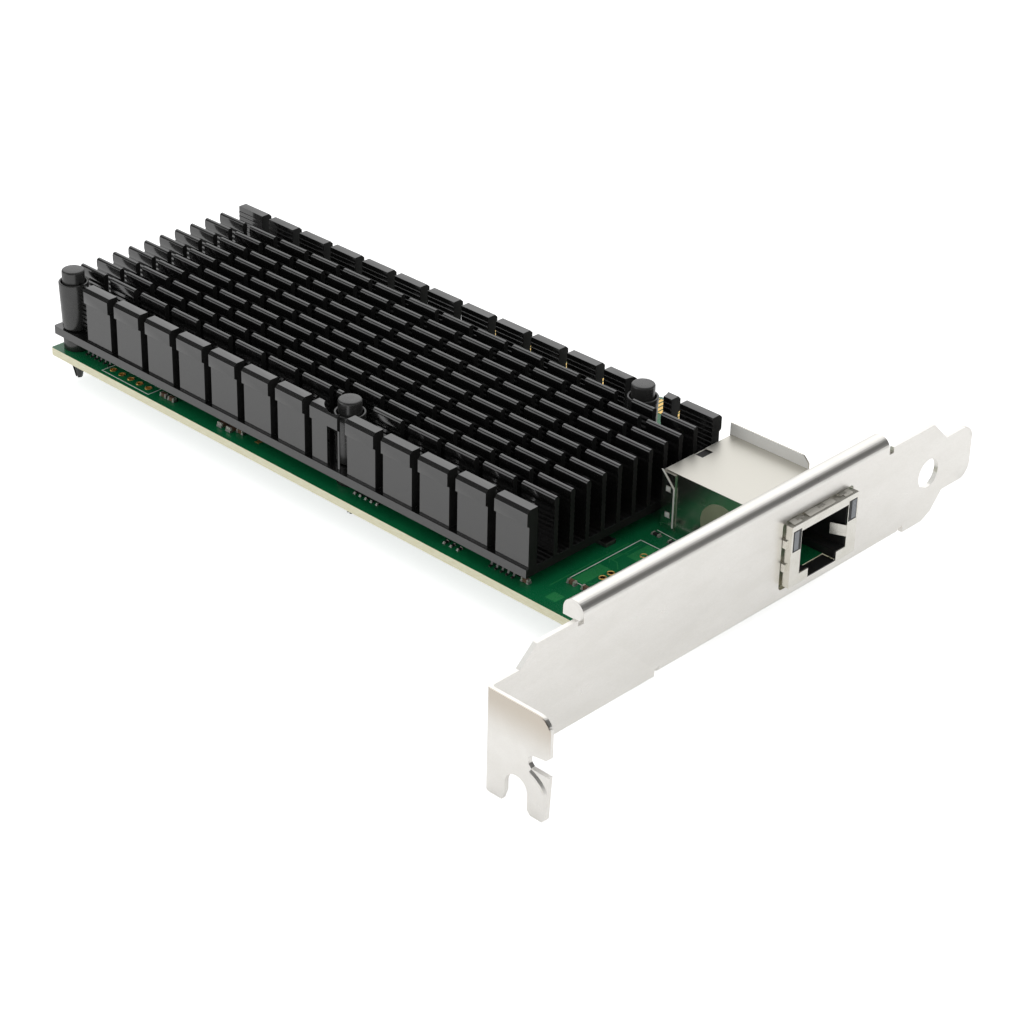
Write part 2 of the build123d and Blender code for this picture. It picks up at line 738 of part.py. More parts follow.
# Moulded housing of the port, with the plug's opening, its latch slot and the light pipes' channels
housing_rear = can_rear + shield_fit
housing_front = port_front - shield_sheet - shield_fit
housing_width = port_width - 2 * (shield_sheet + shield_fit)
housing_height = port_height - shield_sheet - shield_fit
with BuildPart() as port_housing:
    with BuildSketch(Plane.YZ.offset(housing_rear)):
        with Locations((port_centre_y, housing_height / 2)):
            Rectangle(housing_width, housing_height)
    extrude(amount=housing_front - housing_rear)
    with BuildSketch(Plane.YZ.offset(port_front - plug_depth)):
        with Locations((port_centre_y, (plug_bottom + plug_top) / 2)):
            Rectangle(plug_width, plug_top - plug_bottom)
    extrude(amount=plug_depth, mode=Mode.SUBTRACT)
    with BuildSketch(Plane.YZ.offset(port_front - latch_depth)):
        with Locations((port_centre_y, plug_bottom / 2)):
            Rectangle(latch_width, plug_bottom)
    extrude(amount=latch_depth, mode=Mode.SUBTRACT)
    with BuildSketch(Plane.YZ.offset(port_front - light_pipe_length)):
        with Locations(*[(y, pipe_centre_z) for y in pipe_centres]):
            Rectangle(light_pipe_width, light_pipe_height)
    extrude(amount=light_pipe_length, mode=Mode.SUBTRACT)
port_housing.part.label = "port_housing"
export_step(port_housing.part, "parts/port_housing.step")

for name, centre_y in zip(("light_pipe_near", "light_pipe_far"), pipe_centres):
    with BuildPart() as light_pipe:
        with BuildSketch(Plane.YZ.offset(port_front - light_pipe_length)):
            with Locations((centre_y, pipe_centre_z)):
                Rectangle(light_pipe_width - 2 * shield_fit, light_pipe_height - 2 * shield_fit)
        extrude(amount=light_pipe_length)
    light_pipe.part.label = name
    export_step(light_pipe.part, "parts/" + name + ".step")

# Spring contacts slope down from the top of the plug's opening
with BuildPart() as port_contacts:
    for number in range(port_contact_count):
        wire_y = port_centre_y + port_contact_pitch * (number - (port_contact_count - 1) / 2)
        with BuildSketch(Plane.XZ.offset(-wire_y - port_contact_width / 2)):
            with BuildLine():
                Polyline(
                    (port_front - contact_start, plug_top),
                    (port_front - contact_start - 2 * port_contact_thickness, plug_top),
                    (port_front - contact_finish, plug_top - contact_fall),
                    (port_front - contact_finish + port_contact_thickness, plug_top - contact_fall
                     - port_contact_thickness),
                    close=True,
                )
            make_face()
        extrude(amount=port_contact_width)
port_contacts.part.label = "port_contacts"
export_step(port_contacts.part, "parts/port_contacts.step")

with BuildPart() as port_tails:
    with BuildSketch(Plane.XY.offset(board_back - tail_drop)):
        with Locations(*tail_spots):
            Rectangle(tail_width, tail_width)
    extrude(amount=board_thickness + tail_drop)
port_tails.part.label = "port_tails"
export_step(port_tails.part, "parts/port_tails.step")

with BuildPart() as round_sticker:
    with BuildSketch(Plane.XZ.offset(-port_near)):
        with Locations((port_rear + sticker_from_rear, sticker_centre_z)):
            Circle(sticker_radius)
    extrude(amount=sticker_thickness)
round_sticker.part.label = "round_sticker"
export_step(round_sticker.part, "parts/round_sticker.step")

# Bracket: one folded sheet with its ear, hem, tongue, lower flange and threaded collars
bend_outer = sheet + bend_radius
ear_inner = ear_plane + sheet
bend_leg = bend_outer + bend_straight
slot_centre_x = strip_face + slot_from_strip
flange_top = strip_bottom + sheet
with BuildPart() as bracket:
    with BuildSketch(Plane.YZ.offset(strip_back)):
        with BuildLine():
            Polyline(
                (ear_plane + bend_leg, strip_bottom),
                (flange_start - relief_width, strip_bottom),
                (flange_start - relief_width, strip_bottom + bend_outer),
                (flange_end + relief_width, strip_bottom + bend_outer),
                (flange_end + relief_width, strip_bottom),
                (tongue_shoulder - shoulder_cut, strip_bottom),
                (tongue_shoulder + shoulder_rise, strip_bottom + shoulder_rise),
                (tongue_root, tongue_bottom),
                (tongue_end - tongue_corner, tongue_bottom),
                (tongue_end, tongue_bottom + tongue_corner),
                (tongue_end, tongue_top - tongue_corner),
                (tongue_end - tongue_corner, tongue_top),
                (tongue_root, tongue_top),
                (tongue_shoulder, strip_top),
                (hem_end + relief_width, strip_top),
                (hem_end + relief_width, strip_top - relief_depth),
                (hem_start - relief_width, strip_top - relief_depth),
                (hem_start - relief_width, strip_top),
                (wide_start, strip_top),
                (narrow_end, narrow_top),
                (ear_plane + bend_leg, narrow_top),
                close=True,
            )
        make_face()
        with Locations((port_centre_y, (port_height + cut_out_top_gap + cut_out_bottom) / 2)):
            RectangleRounded(
                port_width + 2 * cut_out_side_gap,
                port_height + cut_out_top_gap - cut_out_bottom,
                cut_out_corner,
                mode=Mode.SUBTRACT,
            )
        with Locations((tongue_hole_y, tongue_hole_z)):
            Circle(tongue_hole_radius, mode=Mode.SUBTRACT)
    extrude(amount=sheet)
    with BuildSketch(Plane.XY.offset(ear_bottom)):
        with BuildLine():
            Polyline(
                (strip_back, ear_plane + bend_leg),
                (strip_back, ear_plane + bend_outer),
            )
            RadiusArc((strip_back, ear_plane + bend_outer), (strip_back + bend_outer, ear_plane), -bend_outer)
            Polyline(
                (strip_back + bend_outer, ear_plane),
                (strip_back + bend_leg, ear_plane),
                (strip_back + bend_leg, ear_inner),
                (strip_back + bend_outer, ear_inner),
            )
            RadiusArc(
                (strip_back + bend_outer, ear_inner), (strip_face, ear_plane + bend_outer), bend_radius
            )
            Polyline(
                (strip_face, ear_plane + bend_outer),
                (strip_face, ear_plane + bend_leg),
                (strip_back, ear_plane + bend_leg),
            )
        make_face()
    extrude(amount=narrow_top - ear_bottom)
    with BuildSketch(Plane.XZ.offset(-ear_inner)):
        with BuildLine():
            ear_right = strip_face + ear_depth
            notch_inner = ear_right - side_notch_depth
            slot_left = slot_centre_x - slot_width / 2
            slot_right = slot_centre_x + slot_width / 2
            slot_spring = slot_crown - slot_width / 2
            Polyline(
                (slot_left, slot_spring),
                (slot_left, ear_bottom + prong_flare_height),
                (slot_left - prong_flare, ear_bottom),
                (strip_back + bend_leg, ear_bottom),
                (strip_back + bend_leg, narrow_top),
                (ear_right - ear_corner, narrow_top),
                (ear_right, narrow_top - ear_corner),
                (ear_right, side_notch_top + side_notch_corner + side_notch_flare),
                (ear_right - side_notch_corner, side_notch_top + side_notch_flare),
                (notch_inner + side_notch_corner, side_notch_top),
                (notch_inner, side_notch_top - side_notch_corner),
                (notch_inner, side_notch_bottom + side_notch_corner),
                (notch_inner + side_notch_corner, side_notch_bottom),
                (ear_right, side_notch_bottom),
                (ear_right - prong_taper, ear_bottom + prong_corner),
                (ear_right - prong_taper - prong_corner, ear_bottom),
                (slot_right + prong_corner, ear_bottom),
                (slot_right, ear_bottom + prong_corner),
                (slot_right, slot_spring),
            )
            ThreePointArc(
                (slot_right, slot_spring), (slot_centre_x, slot_crown), (slot_left, slot_spring)
            )
        make_face()
    extrude(amount=sheet)
    with BuildSketch(Plane.XZ.offset(-hem_start)):
        with BuildLine():
            Polyline(
                (strip_back, strip_top - relief_depth),
                (strip_face, strip_top - relief_depth),
                (strip_face, strip_top),
            )
            ThreePointArc(
                (strip_face, strip_top),
                (strip_face - hem_radius, strip_top + hem_radius),
                (strip_face - 2 * hem_radius, strip_top),
            )
            Polyline(
                (strip_face - 2 * hem_radius, strip_top),
                (strip_face - 2 * hem_radius, strip_top - hem_leg),
                (strip_face - 2 * hem_radius + sheet, strip_top - hem_leg),
                (strip_face - 2 * hem_radius + sheet, strip_top),
            )
            ThreePointArc(
                (strip_face - 2 * hem_radius + sheet, strip_top),
                (strip_face - hem_radius, strip_top + hem_radius - sheet),
                (strip_back, strip_top),
            )
            Line((strip_back, strip_top), (strip_back, strip_top - relief_depth))
        make_face()
    extrude(amount=-(hem_end - hem_start))
    with BuildSketch(Plane.XZ.offset(-flange_start)):
        with BuildLine():
            Polyline(
                (strip_back, strip_bottom + bend_outer),
                (strip_face, strip_bottom + bend_outer),
            )
            RadiusArc(
                (strip_face, strip_bottom + bend_outer), (strip_face - bend_outer, strip_bottom), bend_outer
            )
            Polyline(
                (strip_face - bend_outer, strip_bottom),
                (strip_back - flange_depth, strip_bottom),
                (strip_back - flange_depth, flange_top),
                (strip_face - bend_outer, flange_top),
            )
            RadiusArc(
                (strip_face - bend_outer, flange_top), (strip_back, strip_bottom + bend_outer), -bend_radius
            )
        make_face()
    extrude(amount=-(flange_end - flange_start))
    with BuildSketch(Plane.XY.offset(strip_bottom)) as lugs:
        lug_length = lug_depth - flange_depth + lug_overlap
        with Locations(*[(strip_back - lug_depth + lug_length / 2, y) for y in lug_centres]):
            Rectangle(lug_length, lug_width)
        chamfer(lugs.vertices(), length=lug_corner)
    extrude(amount=sheet)
    with BuildSketch(Plane.XY.offset(flange_top)):
        with Locations(*screw_spots):
            Circle(collar_radius)
    extrude(amount=board_back - flange_top)
    with BuildSketch(Plane.XY.offset(strip_bottom)):
        with Locations(*screw_spots):
            Circle(screw_radius + screw_fit)
    extrude(amount=board_back - strip_bottom, mode=Mode.SUBTRACT)
bracket.part.label = "bracket"
export_step(bracket.part, "parts/bracket.step")

# Bracket screws, with a cross recess in each head
with BuildPart() as bracket_screws:
    with BuildSketch():
        with Locations(*screw_spots):
            Circle(screw_head_radius)
    extrude(amount=screw_head_height)
    with BuildSketch(Plane.XY.offset(-screw_length)):
        with Locations(*screw_spots):
            Circle(screw_radius)
    extrude(amount=screw_length)
    with BuildSketch(Plane.XY.offset(screw_head_height - recess_depth)):
        with Locations(*screw_spots):
            Rectangle(recess_width, 2 * screw_radius)
            Rectangle(2 * screw_radius, recess_width)
    extrude(amount=recess_depth, mode=Mode.SUBTRACT)
bracket_screws.part.label = "bracket_screws"
export_step(bracket_screws.part, "parts/bracket_screws.step")
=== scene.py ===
from math import pi, radians, sqrt

import bmesh
import bpy
import numpy as np
from mathutils import Matrix, Vector


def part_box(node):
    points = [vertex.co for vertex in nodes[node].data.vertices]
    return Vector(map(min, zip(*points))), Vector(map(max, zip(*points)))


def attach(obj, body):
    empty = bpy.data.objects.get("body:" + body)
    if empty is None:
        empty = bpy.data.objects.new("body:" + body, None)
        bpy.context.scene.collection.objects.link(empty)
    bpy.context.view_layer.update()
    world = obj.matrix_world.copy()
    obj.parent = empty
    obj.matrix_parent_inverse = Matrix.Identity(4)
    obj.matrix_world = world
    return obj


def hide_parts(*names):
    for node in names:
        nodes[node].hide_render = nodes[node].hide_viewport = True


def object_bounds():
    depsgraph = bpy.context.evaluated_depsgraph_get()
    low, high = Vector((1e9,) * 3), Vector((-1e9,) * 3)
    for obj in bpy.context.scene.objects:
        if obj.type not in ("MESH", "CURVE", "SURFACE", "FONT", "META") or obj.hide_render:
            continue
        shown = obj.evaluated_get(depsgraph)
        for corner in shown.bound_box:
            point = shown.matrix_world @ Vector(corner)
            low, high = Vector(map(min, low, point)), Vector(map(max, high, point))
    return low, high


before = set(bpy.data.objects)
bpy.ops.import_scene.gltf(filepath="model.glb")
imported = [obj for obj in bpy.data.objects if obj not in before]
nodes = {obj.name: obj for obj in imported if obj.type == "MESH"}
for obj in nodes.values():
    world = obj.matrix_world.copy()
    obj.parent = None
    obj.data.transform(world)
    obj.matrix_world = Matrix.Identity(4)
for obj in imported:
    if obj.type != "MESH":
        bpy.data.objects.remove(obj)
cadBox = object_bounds()
mm = 0.001
weldDistance = 0.0005        # millimetres: corners closer than this are one
sameLevel = 0.01             # millimetres: a face's middle this close to a level lies on it

print("stage: frame loaded,", len(nodes), "nodes")


def linkedObject(name, data):
    thing = bpy.data.objects.new(name, data)
    bpy.context.scene.collection.objects.link(thing)
    return thing



# camera: the photograph's view of the card, worked out from its standard sizes
cameraSettings = {
    "place": (0.29004, -0.34541, 0.23469),   # metres
    "azimuth": 43.63,                         # degrees round from the card's near side
    "elevation": 28.93,
    "roll": 1.26,
    "lens": 96.82,
    "sensor": 36.0,
    "shiftX": 0.0098,
    "shiftY": -0.0542,
}


def addCamera(settings):
    data = bpy.data.cameras.new("photoCamera")
    data.lens = settings["lens"]
    data.sensor_width = settings["sensor"]
    data.shift_x = settings["shiftX"]
    data.shift_y = settings["shiftY"]
    data.clip_start = 0.01
    data.clip_end = 20
    camera = linkedObject("photoCamera", data)
    turn = (
        Matrix.Rotation(radians(settings["azimuth"]), 4, "Z")
        @ Matrix.Rotation(radians(90 - settings["elevation"]), 4, "X")
        @ Matrix.Rotation(radians(settings["roll"]), 4, "Z")
    )
    camera.matrix_world = Matrix.Translation(Vector(settings["place"])) @ turn
    bpy.context.scene.camera = camera


addCamera(cameraSettings)

# lights: a white room whose upper walls are dim but for one side, and two soft panels
lightSettings = {
    "worldLevel": 0.8,
    "panels": [
        # name, place, target, size in metres, watts
        ("topPanel", (-0.15, 0.45, 0.9), (-0.02, -0.04, 0.0), 1.4, 0.7),
        ("nearPanel", (-0.5, -0.8, 0.3), (-0.02, -0.04, 0.0), 0.6, 1.0),
    ],
    "keySide": (-0.52, 0.55, 0.65),      # the way towards the bright wall of the room
    "keyLevel": 1.15,                     # of that wall, as a reflection shows it
    "dimLevel": 0.1,                      # upper walls of the room, as a reflection shows them
    "dimRise": (0.0, 0.12),               # rise of a reflection's way over which the dim walls begin
    "keyEdge": (0.6, 0.93),               # how squarely it meets the bright wall, at its edge and within
}


def setInputs(tree, node, inputs):
    # each input takes a plain value, or a link where it is given another node's output
    for label, value in inputs.items():
        if isinstance(value, bpy.types.NodeSocket):
            tree.links.new(value, node.inputs[label])
        else:
            node.inputs[label].default_value = value
    return node


def addNode(tree, kind, inputs):
    return setInputs(tree, tree.nodes.new("ShaderNode" + kind), inputs)


def addMath(tree, operation, first, second):
    node = addNode(tree, "Math", {0: first, 1: second})
    node.operation = operation
    return node.outputs[0]


def addRange(tree, value, low, high, toLow=0.0, toHigh=1.0):
    inputs = {"Value": value, "From Min": low, "From Max": high, "To Min": toLow, "To Max": toHigh}
    node = addNode(tree, "MapRange", inputs)
    node.interpolation_type = "SMOOTHSTEP"
    return node.outputs["Result"]


def backgroundRay(tree):
    # one where the camera, a reflection or a refraction looks, and zero elsewhere
    path = tree.nodes.new("ShaderNodeLightPath")
    seen = addMath(tree, "MAXIMUM", path.outputs["Is Camera Ray"], path.outputs["Is Glossy Ray"])
    return addMath(tree, "MAXIMUM", seen, path.outputs["Is Transmission Ray"]), path


def addLights(settings):
    world = bpy.data.worlds.new("whiteRoom")
    bpy.context.scene.world = world
    world.use_nodes = True
    tree = world.node_tree
    background = tree.nodes["Background"]
    background.inputs["Color"].default_value = (1, 1, 1, 1)
    # the room's walls: white down at the floor and on the key side, dim higher up elsewhere
    way = tree.nodes.new("ShaderNodeTexCoord").outputs["Generated"]
    parts = addNode(tree, "SeparateXYZ", {0: way})
    facing = addNode(tree, "VectorMath", {0: way, 1: Vector(settings["keySide"]).normalized()})
    facing.operation = "DOT_PRODUCT"
    high = addRange(tree, parts.outputs["Z"], *settings["dimRise"])
    levels = (settings["dimLevel"], settings["keyLevel"])
    upper = addRange(tree, facing.outputs["Value"], *settings["keyEdge"], *levels)
    drop = addMath(tree, "MULTIPLY", high, addMath(tree, "SUBTRACT", upper, 1.0))
    wall = addMath(tree, "ADD", drop, 1.0)
    seen, path = backgroundRay(tree)
    unlit = addMath(tree, "SUBTRACT", 1.0, path.outputs["Is Camera Ray"])
    walled = addMath(tree, "MULTIPLY", addMath(tree, "SUBTRACT", wall, 1.0), unlit)
    shown = addMath(tree, "ADD", walled, 1.0)
    lit = addMath(tree, "MULTIPLY", addMath(tree, "SUBTRACT", 1.0, seen), settings["worldLevel"])
    strength = addMath(tree, "ADD", addMath(tree, "MULTIPLY", shown, seen), lit)
    tree.links.new(strength, background.inputs["Strength"])
    for name, place, target, size, watts in settings["panels"]:
        data = bpy.data.lights.new(name, "AREA")
        data.size = size
        data.energy = watts
        lamp = linkedObject(name, data)
        lamp.location = place
        lamp.rotation_euler = (Vector(place) - Vector(target)).to_track_quat("Z", "Y").to_euler()


addLights(lightSettings)
bpy.context.scene.view_settings.view_transform = "Standard"

# floor: white, and it keeps the card's shadow
floorSettings = {
    "halfWidth": 3.0,
    "below": 0.00002,       # metres under the lowest point
    "colour": (0.8, 0.8, 0.8, 1),
    "glow": 0.7,            # added where the camera looks
    "mirroredGlow": 0.27,   # added where a reflection or a refraction looks
}


def addFloor(settings):
    level = cadBox[0][2] - settings["below"]
    half = settings["halfWidth"]
    mesh = bpy.data.meshes.new("floor")
    corners = [(-half, -half, level), (half, -half, level), (half, half, level), (-half, half, level)]
    mesh.from_pydata(corners, [], [(0, 1, 2, 3)])
    floor = linkedObject("floor", mesh)
    material = bpy.data.materials.new("floorWhite")
    material.use_nodes = True
    tree = material.node_tree
    principled = tree.nodes["Principled BSDF"]
    matt = {"Base Color": settings["colour"], "Roughness": 1.0, "Specular IOR Level": 0.0}
    setInputs(tree, principled, matt)
    seen, path = backgroundRay(tree)
    mirrored = addMath(tree, "MULTIPLY", seen, settings["mirroredGlow"])
    direct = addMath(tree, "MULTIPLY", path.outputs["Is Camera Ray"], settings["glow"])
    glow = addNode(tree, "Emission", {"Strength": addMath(tree, "MAXIMUM", mirrored, direct)})
    both = addNode(tree, "AddShader", {0: principled.outputs[0], 1: glow.outputs[0]})
    setInputs(tree, tree.nodes["Material Output"], {"Surface": both.outputs[0]})
    mesh.materials.append(material)


addFloor(floorSettings)
print("stage: camera, lights and floor")

# finishes: shared effects are node groups, and each material has its own values
grainSettings = {
    "detail": 4.0,
    "soft": 0.55,
    "fine": 9000.0,              # scale of the grain, per metre
    "coarse": 300.0,             # scale of the mottle
    "colourRange": (0.35, 0.65),
    "roughRange": (0.3, 0.7),
    "bumpDepth": 0.02,           # millimetres
    "uprightBelow": 0.6,         # a normal with less height than this belongs to an upright face
}


def newGroup(name, inputs, outputs):
    group = bpy.data.node_groups.new(name, "ShaderNodeTree")
    for label, kind, value in inputs:
        socket = group.interface.new_socket(name=label, in_out="INPUT", socket_type=kind)
        if value is not None:
            socket.default_value = value
    for label, kind in outputs:
        group.interface.new_socket(name=label, in_out="OUTPUT", socket_type=kind)
    return group, group.nodes.new("NodeGroupInput"), group.nodes.new("NodeGroupOutput")


def makeSurfaceGrain(settings):
    # noise on Object coordinates, stretched along one axis: a mottle for colour and roughness, and a height
    group, source, result = newGroup(
        "surfaceGrain",
        [
            ("Vector", "NodeSocketVector", None),
            ("Stretch", "NodeSocketVector", (1, 1, 1)),
            ("Fine Scale", "NodeSocketFloat", settings["fine"]),
            ("Coarse Scale", "NodeSocketFloat", settings["coarse"]),
        ],
        [("Mottle", "NodeSocketFloat"), ("Height", "NodeSocketFloat")],
    )
    stretch = addNode(group, "VectorMath", {0: source.outputs["Vector"], 1: source.outputs["Stretch"]})
    stretch.operation = "MULTIPLY"
    noises = []
    for label in ("Fine Scale", "Coarse Scale"):
        inputs = {"Vector": stretch.outputs[0], "Scale": source.outputs[label],
                  "Detail": settings["detail"], "Roughness": settings["soft"]}
        noises.append(addNode(group, "TexNoise", inputs).outputs["Fac"])
    mottle = addMath(group, "MULTIPLY", addMath(group, "ADD", *noises), 0.5)
    setInputs(group, result, {"Mottle": mottle, "Height": noises[0]})
    return group


def makeEdgeFaces(settings):
    # one on faces that stand upright, such as a board's cut edge, and zero on its two flat faces
    group, source, result = newGroup(
        "edgeFaces", [("Normal", "NodeSocketVector", None)], [("Mask", "NodeSocketFloat")]
    )
    parts = addNode(group, "SeparateXYZ", {0: source.outputs["Normal"]})
    height = addMath(group, "ABSOLUTE", parts.outputs["Z"], 0.0)
    setInputs(group, result, {"Mask": addMath(group, "LESS_THAN", height, settings["uprightBelow"])})
    return group


surfaceGrain = makeSurfaceGrain(grainSettings)
edgeFaces = makeEdgeFaces(grainSettings)

finishes = {
    # name: colour, second colour of the mottle, metallic, lowest and highest roughness, bump, extras
    "anodised_aluminium": ((0.006, 0.006, 0.0058), (0.004, 0.004, 0.004), 0.0, (0.1, 0.16), 0.04,
        dict(fine=14000.0, ior=1.98)),
    "sawn_aluminium": ((0.008, 0.008, 0.0078), (0.014, 0.014, 0.0135), 0.0, (0.5, 0.65), 0.2,
        dict(fine=5000.0, ior=1.3)),
    "pin_nylon": ((0.03, 0.03, 0.029), (0.018, 0.018, 0.0175), 0.0, (0.22, 0.36), 0.16,
        dict(fine=4000.0, ior=1.72)),
    "bracket_steel": ((0.93, 0.91, 0.87), (0.88, 0.86, 0.815), 1.0, (0.27, 0.37), 0.3,
        # under the ear's fold the colour carries a painted shade, darker and warmer
        dict(fine=7000.0, stretch=(1, 0.35, 1), paintedFoldShade=(0.66, 0.6, 0.52),
             foldFrom=3.5, foldTo=10.6, foldSide=-103.9)),
    "screw_steel": ((0.62, 0.61, 0.59), (0.5, 0.49, 0.47), 1.0, (0.25, 0.35), 0.05, {}),
    "nickel_sheet": ((0.86, 0.84, 0.78), (0.78, 0.76, 0.69), 1.0, (0.2, 0.28), 0.04,
        # faces that look up take a darker colour here, as painted shade
        dict(fine=6000.0, flatRough=0.42, paintedTopShade=(0.7, 0.68, 0.62))),
    # a pale, nearly matt copy of the sheet metals, for painted highlights
    "bright_sheet": ((0.97, 0.96, 0.92), (0.93, 0.92, 0.87), 0.1, (0.4, 0.5), 0.04, dict(fine=6000.0)),
    "port_moulding": ((0.012, 0.012, 0.012), (0.02, 0.02, 0.02), 0.0, (0.35, 0.5), 0.06, {}),
    "chip_moulding": ((0.018, 0.018, 0.018), (0.03, 0.03, 0.03), 0.0, (0.45, 0.6), 0.1, {}),
    "coil_moulding": ((0.07, 0.07, 0.072), (0.045, 0.045, 0.046), 0.0, (0.5, 0.65), 0.1, {}),
    "capacitor_ceramic": ((0.15, 0.088, 0.055), (0.11, 0.062, 0.04), 0.0, (0.35, 0.5), 0.04, {}),
    "resistor_film": ((0.02, 0.02, 0.022), (0.035, 0.034, 0.034), 0.0, (0.3, 0.4), 0.04, {}),
    "tinned_steel": ((0.82, 0.79, 0.73), (0.7, 0.67, 0.61), 0.8, (0.3, 0.45), 0.12, {}),
    "lead_metal": ((0.2, 0.198, 0.19), (0.14, 0.138, 0.134), 1.0, (0.4, 0.55), 0.1, {}),
    "gold_plate": ((0.86, 0.58, 0.2), (0.76, 0.49, 0.15), 0.8, (0.2, 0.32), 0.05, {}),
    "thermal_silicone": ((0.42, 0.44, 0.46), (0.36, 0.38, 0.4), 0.0, (0.6, 0.8), 0.1, {}),
    "clear_plastic": ((0.4, 0.42, 0.45), (0.34, 0.36, 0.39), 0.0, (0.2, 0.3), 0.02,
        dict(transmission=0.35)),
    "sticker_film": ((0.28, 0.3, 0.2), (0.245, 0.262, 0.172), 0.0, (0.3, 0.42), 0.02, {}),
    "dull_solder": ((0.4, 0.395, 0.385), (0.3, 0.295, 0.29), 1.0, (0.35, 0.5), 0.15, {}),
    # a dark lining inside open holes, painted shade
    "hole_wall": ((0.05, 0.032, 0.014), (0.03, 0.02, 0.01), 0.5, (0.5, 0.6), 0.05, {}),
    "white_print": ((0.8, 0.82, 0.78), (0.66, 0.7, 0.64), 0.0, (0.5, 0.65), 0.05, {}),
    "copper_under_mask": ((0.03, 0.27, 0.085), (0.02, 0.21, 0.07), 0.0, (0.2, 0.3), 0.03, dict(coat=0.5)),
}


def addGroup(tree, group, inputs):
    node = tree.nodes.new("ShaderNodeGroup")
    node.node_tree = group
    return setInputs(tree, node, inputs)


def addGrain(tree, coordinates, settings):
    inputs = {"Vector": coordinates.outputs["Object"], "Stretch": settings.get("stretch", (1, 1, 1))}
    inputs["Fine Scale"] = settings.get("fine", grainSettings["fine"])
    inputs["Coarse Scale"] = settings.get("coarse", grainSettings["coarse"])
    return addGroup(tree, surfaceGrain, inputs)


def uprightMask(tree):
    geometry = tree.nodes.new("ShaderNodeNewGeometry")
    return addGroup(tree, edgeFaces, {"Normal": geometry.outputs["True Normal"]}).outputs["Mask"]


def bumpNormal(tree, grain, strength):
    depth = grainSettings["bumpDepth"] * mm
    inputs = {"Strength": strength, "Distance": depth, "Height": grain.outputs["Height"]}
    return addNode(tree, "Bump", inputs).outputs["Normal"]


def addMix(tree, factor, first, second):
    # the colour sockets of a mix node are its seventh and eighth inputs and its third output
    mix = tree.nodes.new("ShaderNodeMix")
    mix.data_type = "RGBA"
    first, second = [(*value, 1) if isinstance(value, tuple) else value for value in (first, second)]
    setInputs(tree, mix, {"Factor": factor, 6: first, 7: second})
    return mix.outputs[2]


def newMaterial(name):
    material = bpy.data.materials.new(name)
    material.use_nodes = True
    tree = material.node_tree
    return material, tree, tree.nodes["Principled BSDF"], tree.nodes.new("ShaderNodeTexCoord")


def makeFinish(name, look, mottle, metallic, roughness, bump, extras):
    material, tree, principled, coordinates = newMaterial(name)
    grain = addGrain(tree, coordinates, extras)
    spread = addRange(tree, grain.outputs["Mottle"], *grainSettings["colourRange"])
    colour = addMix(tree, spread, look, mottle)
    rough = addRange(tree, grain.outputs["Mottle"], *grainSettings["roughRange"], *roughness)
    if "paintedFoldShade" in extras:
        # painted shade: the sheet is darker and warmer just under its fold, in place of the surroundings'
        # reflection there
        place = addNode(tree, "SeparateXYZ", {0: coordinates.outputs["Object"]})
        under = addRange(tree, place.outputs["Z"], extras["foldFrom"] * mm, extras["foldTo"] * mm)
        beyond = addMath(tree, "LESS_THAN", place.outputs["Y"], extras["foldSide"] * mm)
        colour = addMix(tree, addMath(tree, "MULTIPLY", under, beyond), colour, extras["paintedFoldShade"])
    if "flatRough" in extras:
        # a face that looks up takes a softer shine than the upright ones, and a darker colour as painted
        # shade
        flat = addMath(tree, "SUBTRACT", 1.0, uprightMask(tree))
        rough = addMath(tree, "MAXIMUM", rough, addMath(tree, "MULTIPLY", flat, extras["flatRough"]))
        colour = addMix(tree, flat, colour, extras["paintedTopShade"])
    setInputs(tree, principled, {
        "Base Color": colour,
        "Roughness": rough,
        "Metallic": metallic,
        "Transmission Weight": extras.get("transmission", 0.0),
        "Coat Weight": extras.get("coat", 0.0),
        "IOR": extras.get("ior", 1.5),
        "Normal": bumpNormal(tree, grain, bump),
    })
    return material


boardFinish = {
    "mask": (0.005, 0.16, 0.055),
    "maskDeep": (0.003, 0.115, 0.042),
    "laminate": (0.9, 0.88, 0.68),
    "laminateDark": (0.8, 0.76, 0.52),
    "rough": (0.22, 0.3),
    "edgeRough": 0.7,
    "grain": {"fine": 5000.0, "coarse": 90.0},
    "layers": {"fine": 900.0, "coarse": 700.0, "stretch": (1, 1, 14)},     # glass lies flat in the cut edge
    "layerRange": (0.4, 0.6),
    "bump": 0.05,
}


def makeBoardMaterial(settings):
    # green solder mask on both faces, and the pale layered laminate where the board is cut
    material, tree, principled, coordinates = newMaterial("board_laminate")
    grain = addGrain(tree, coordinates, settings["grain"])
    layers = addGrain(tree, coordinates, settings["layers"])
    edge = uprightMask(tree)
    spread = addRange(tree, grain.outputs["Mottle"], *grainSettings["colourRange"])
    mask = addMix(tree, spread, settings["mask"], settings["maskDeep"])
    banded = addRange(tree, layers.outputs["Mottle"], *settings["layerRange"])
    cut = addMix(tree, banded, settings["laminate"], settings["laminateDark"])
    smooth = addRange(tree, grain.outputs["Mottle"], *grainSettings["roughRange"], *settings["rough"])
    rougher = addMath(tree, "MULTIPLY", edge, settings["edgeRough"])
    setInputs(tree, principled, {
        "Base Color": addMix(tree, edge, mask, cut),
        "Roughness": addMath(tree, "MAXIMUM", smooth, rougher),
        "Normal": bumpNormal(tree, grain, settings["bump"]),
    })
    return material


materials = {name: makeFinish(name, *row) for name, row in finishes.items()}
materials["board_laminate"] = makeBoardMaterial(boardFinish)
print("stage: finishes,", len(materials))

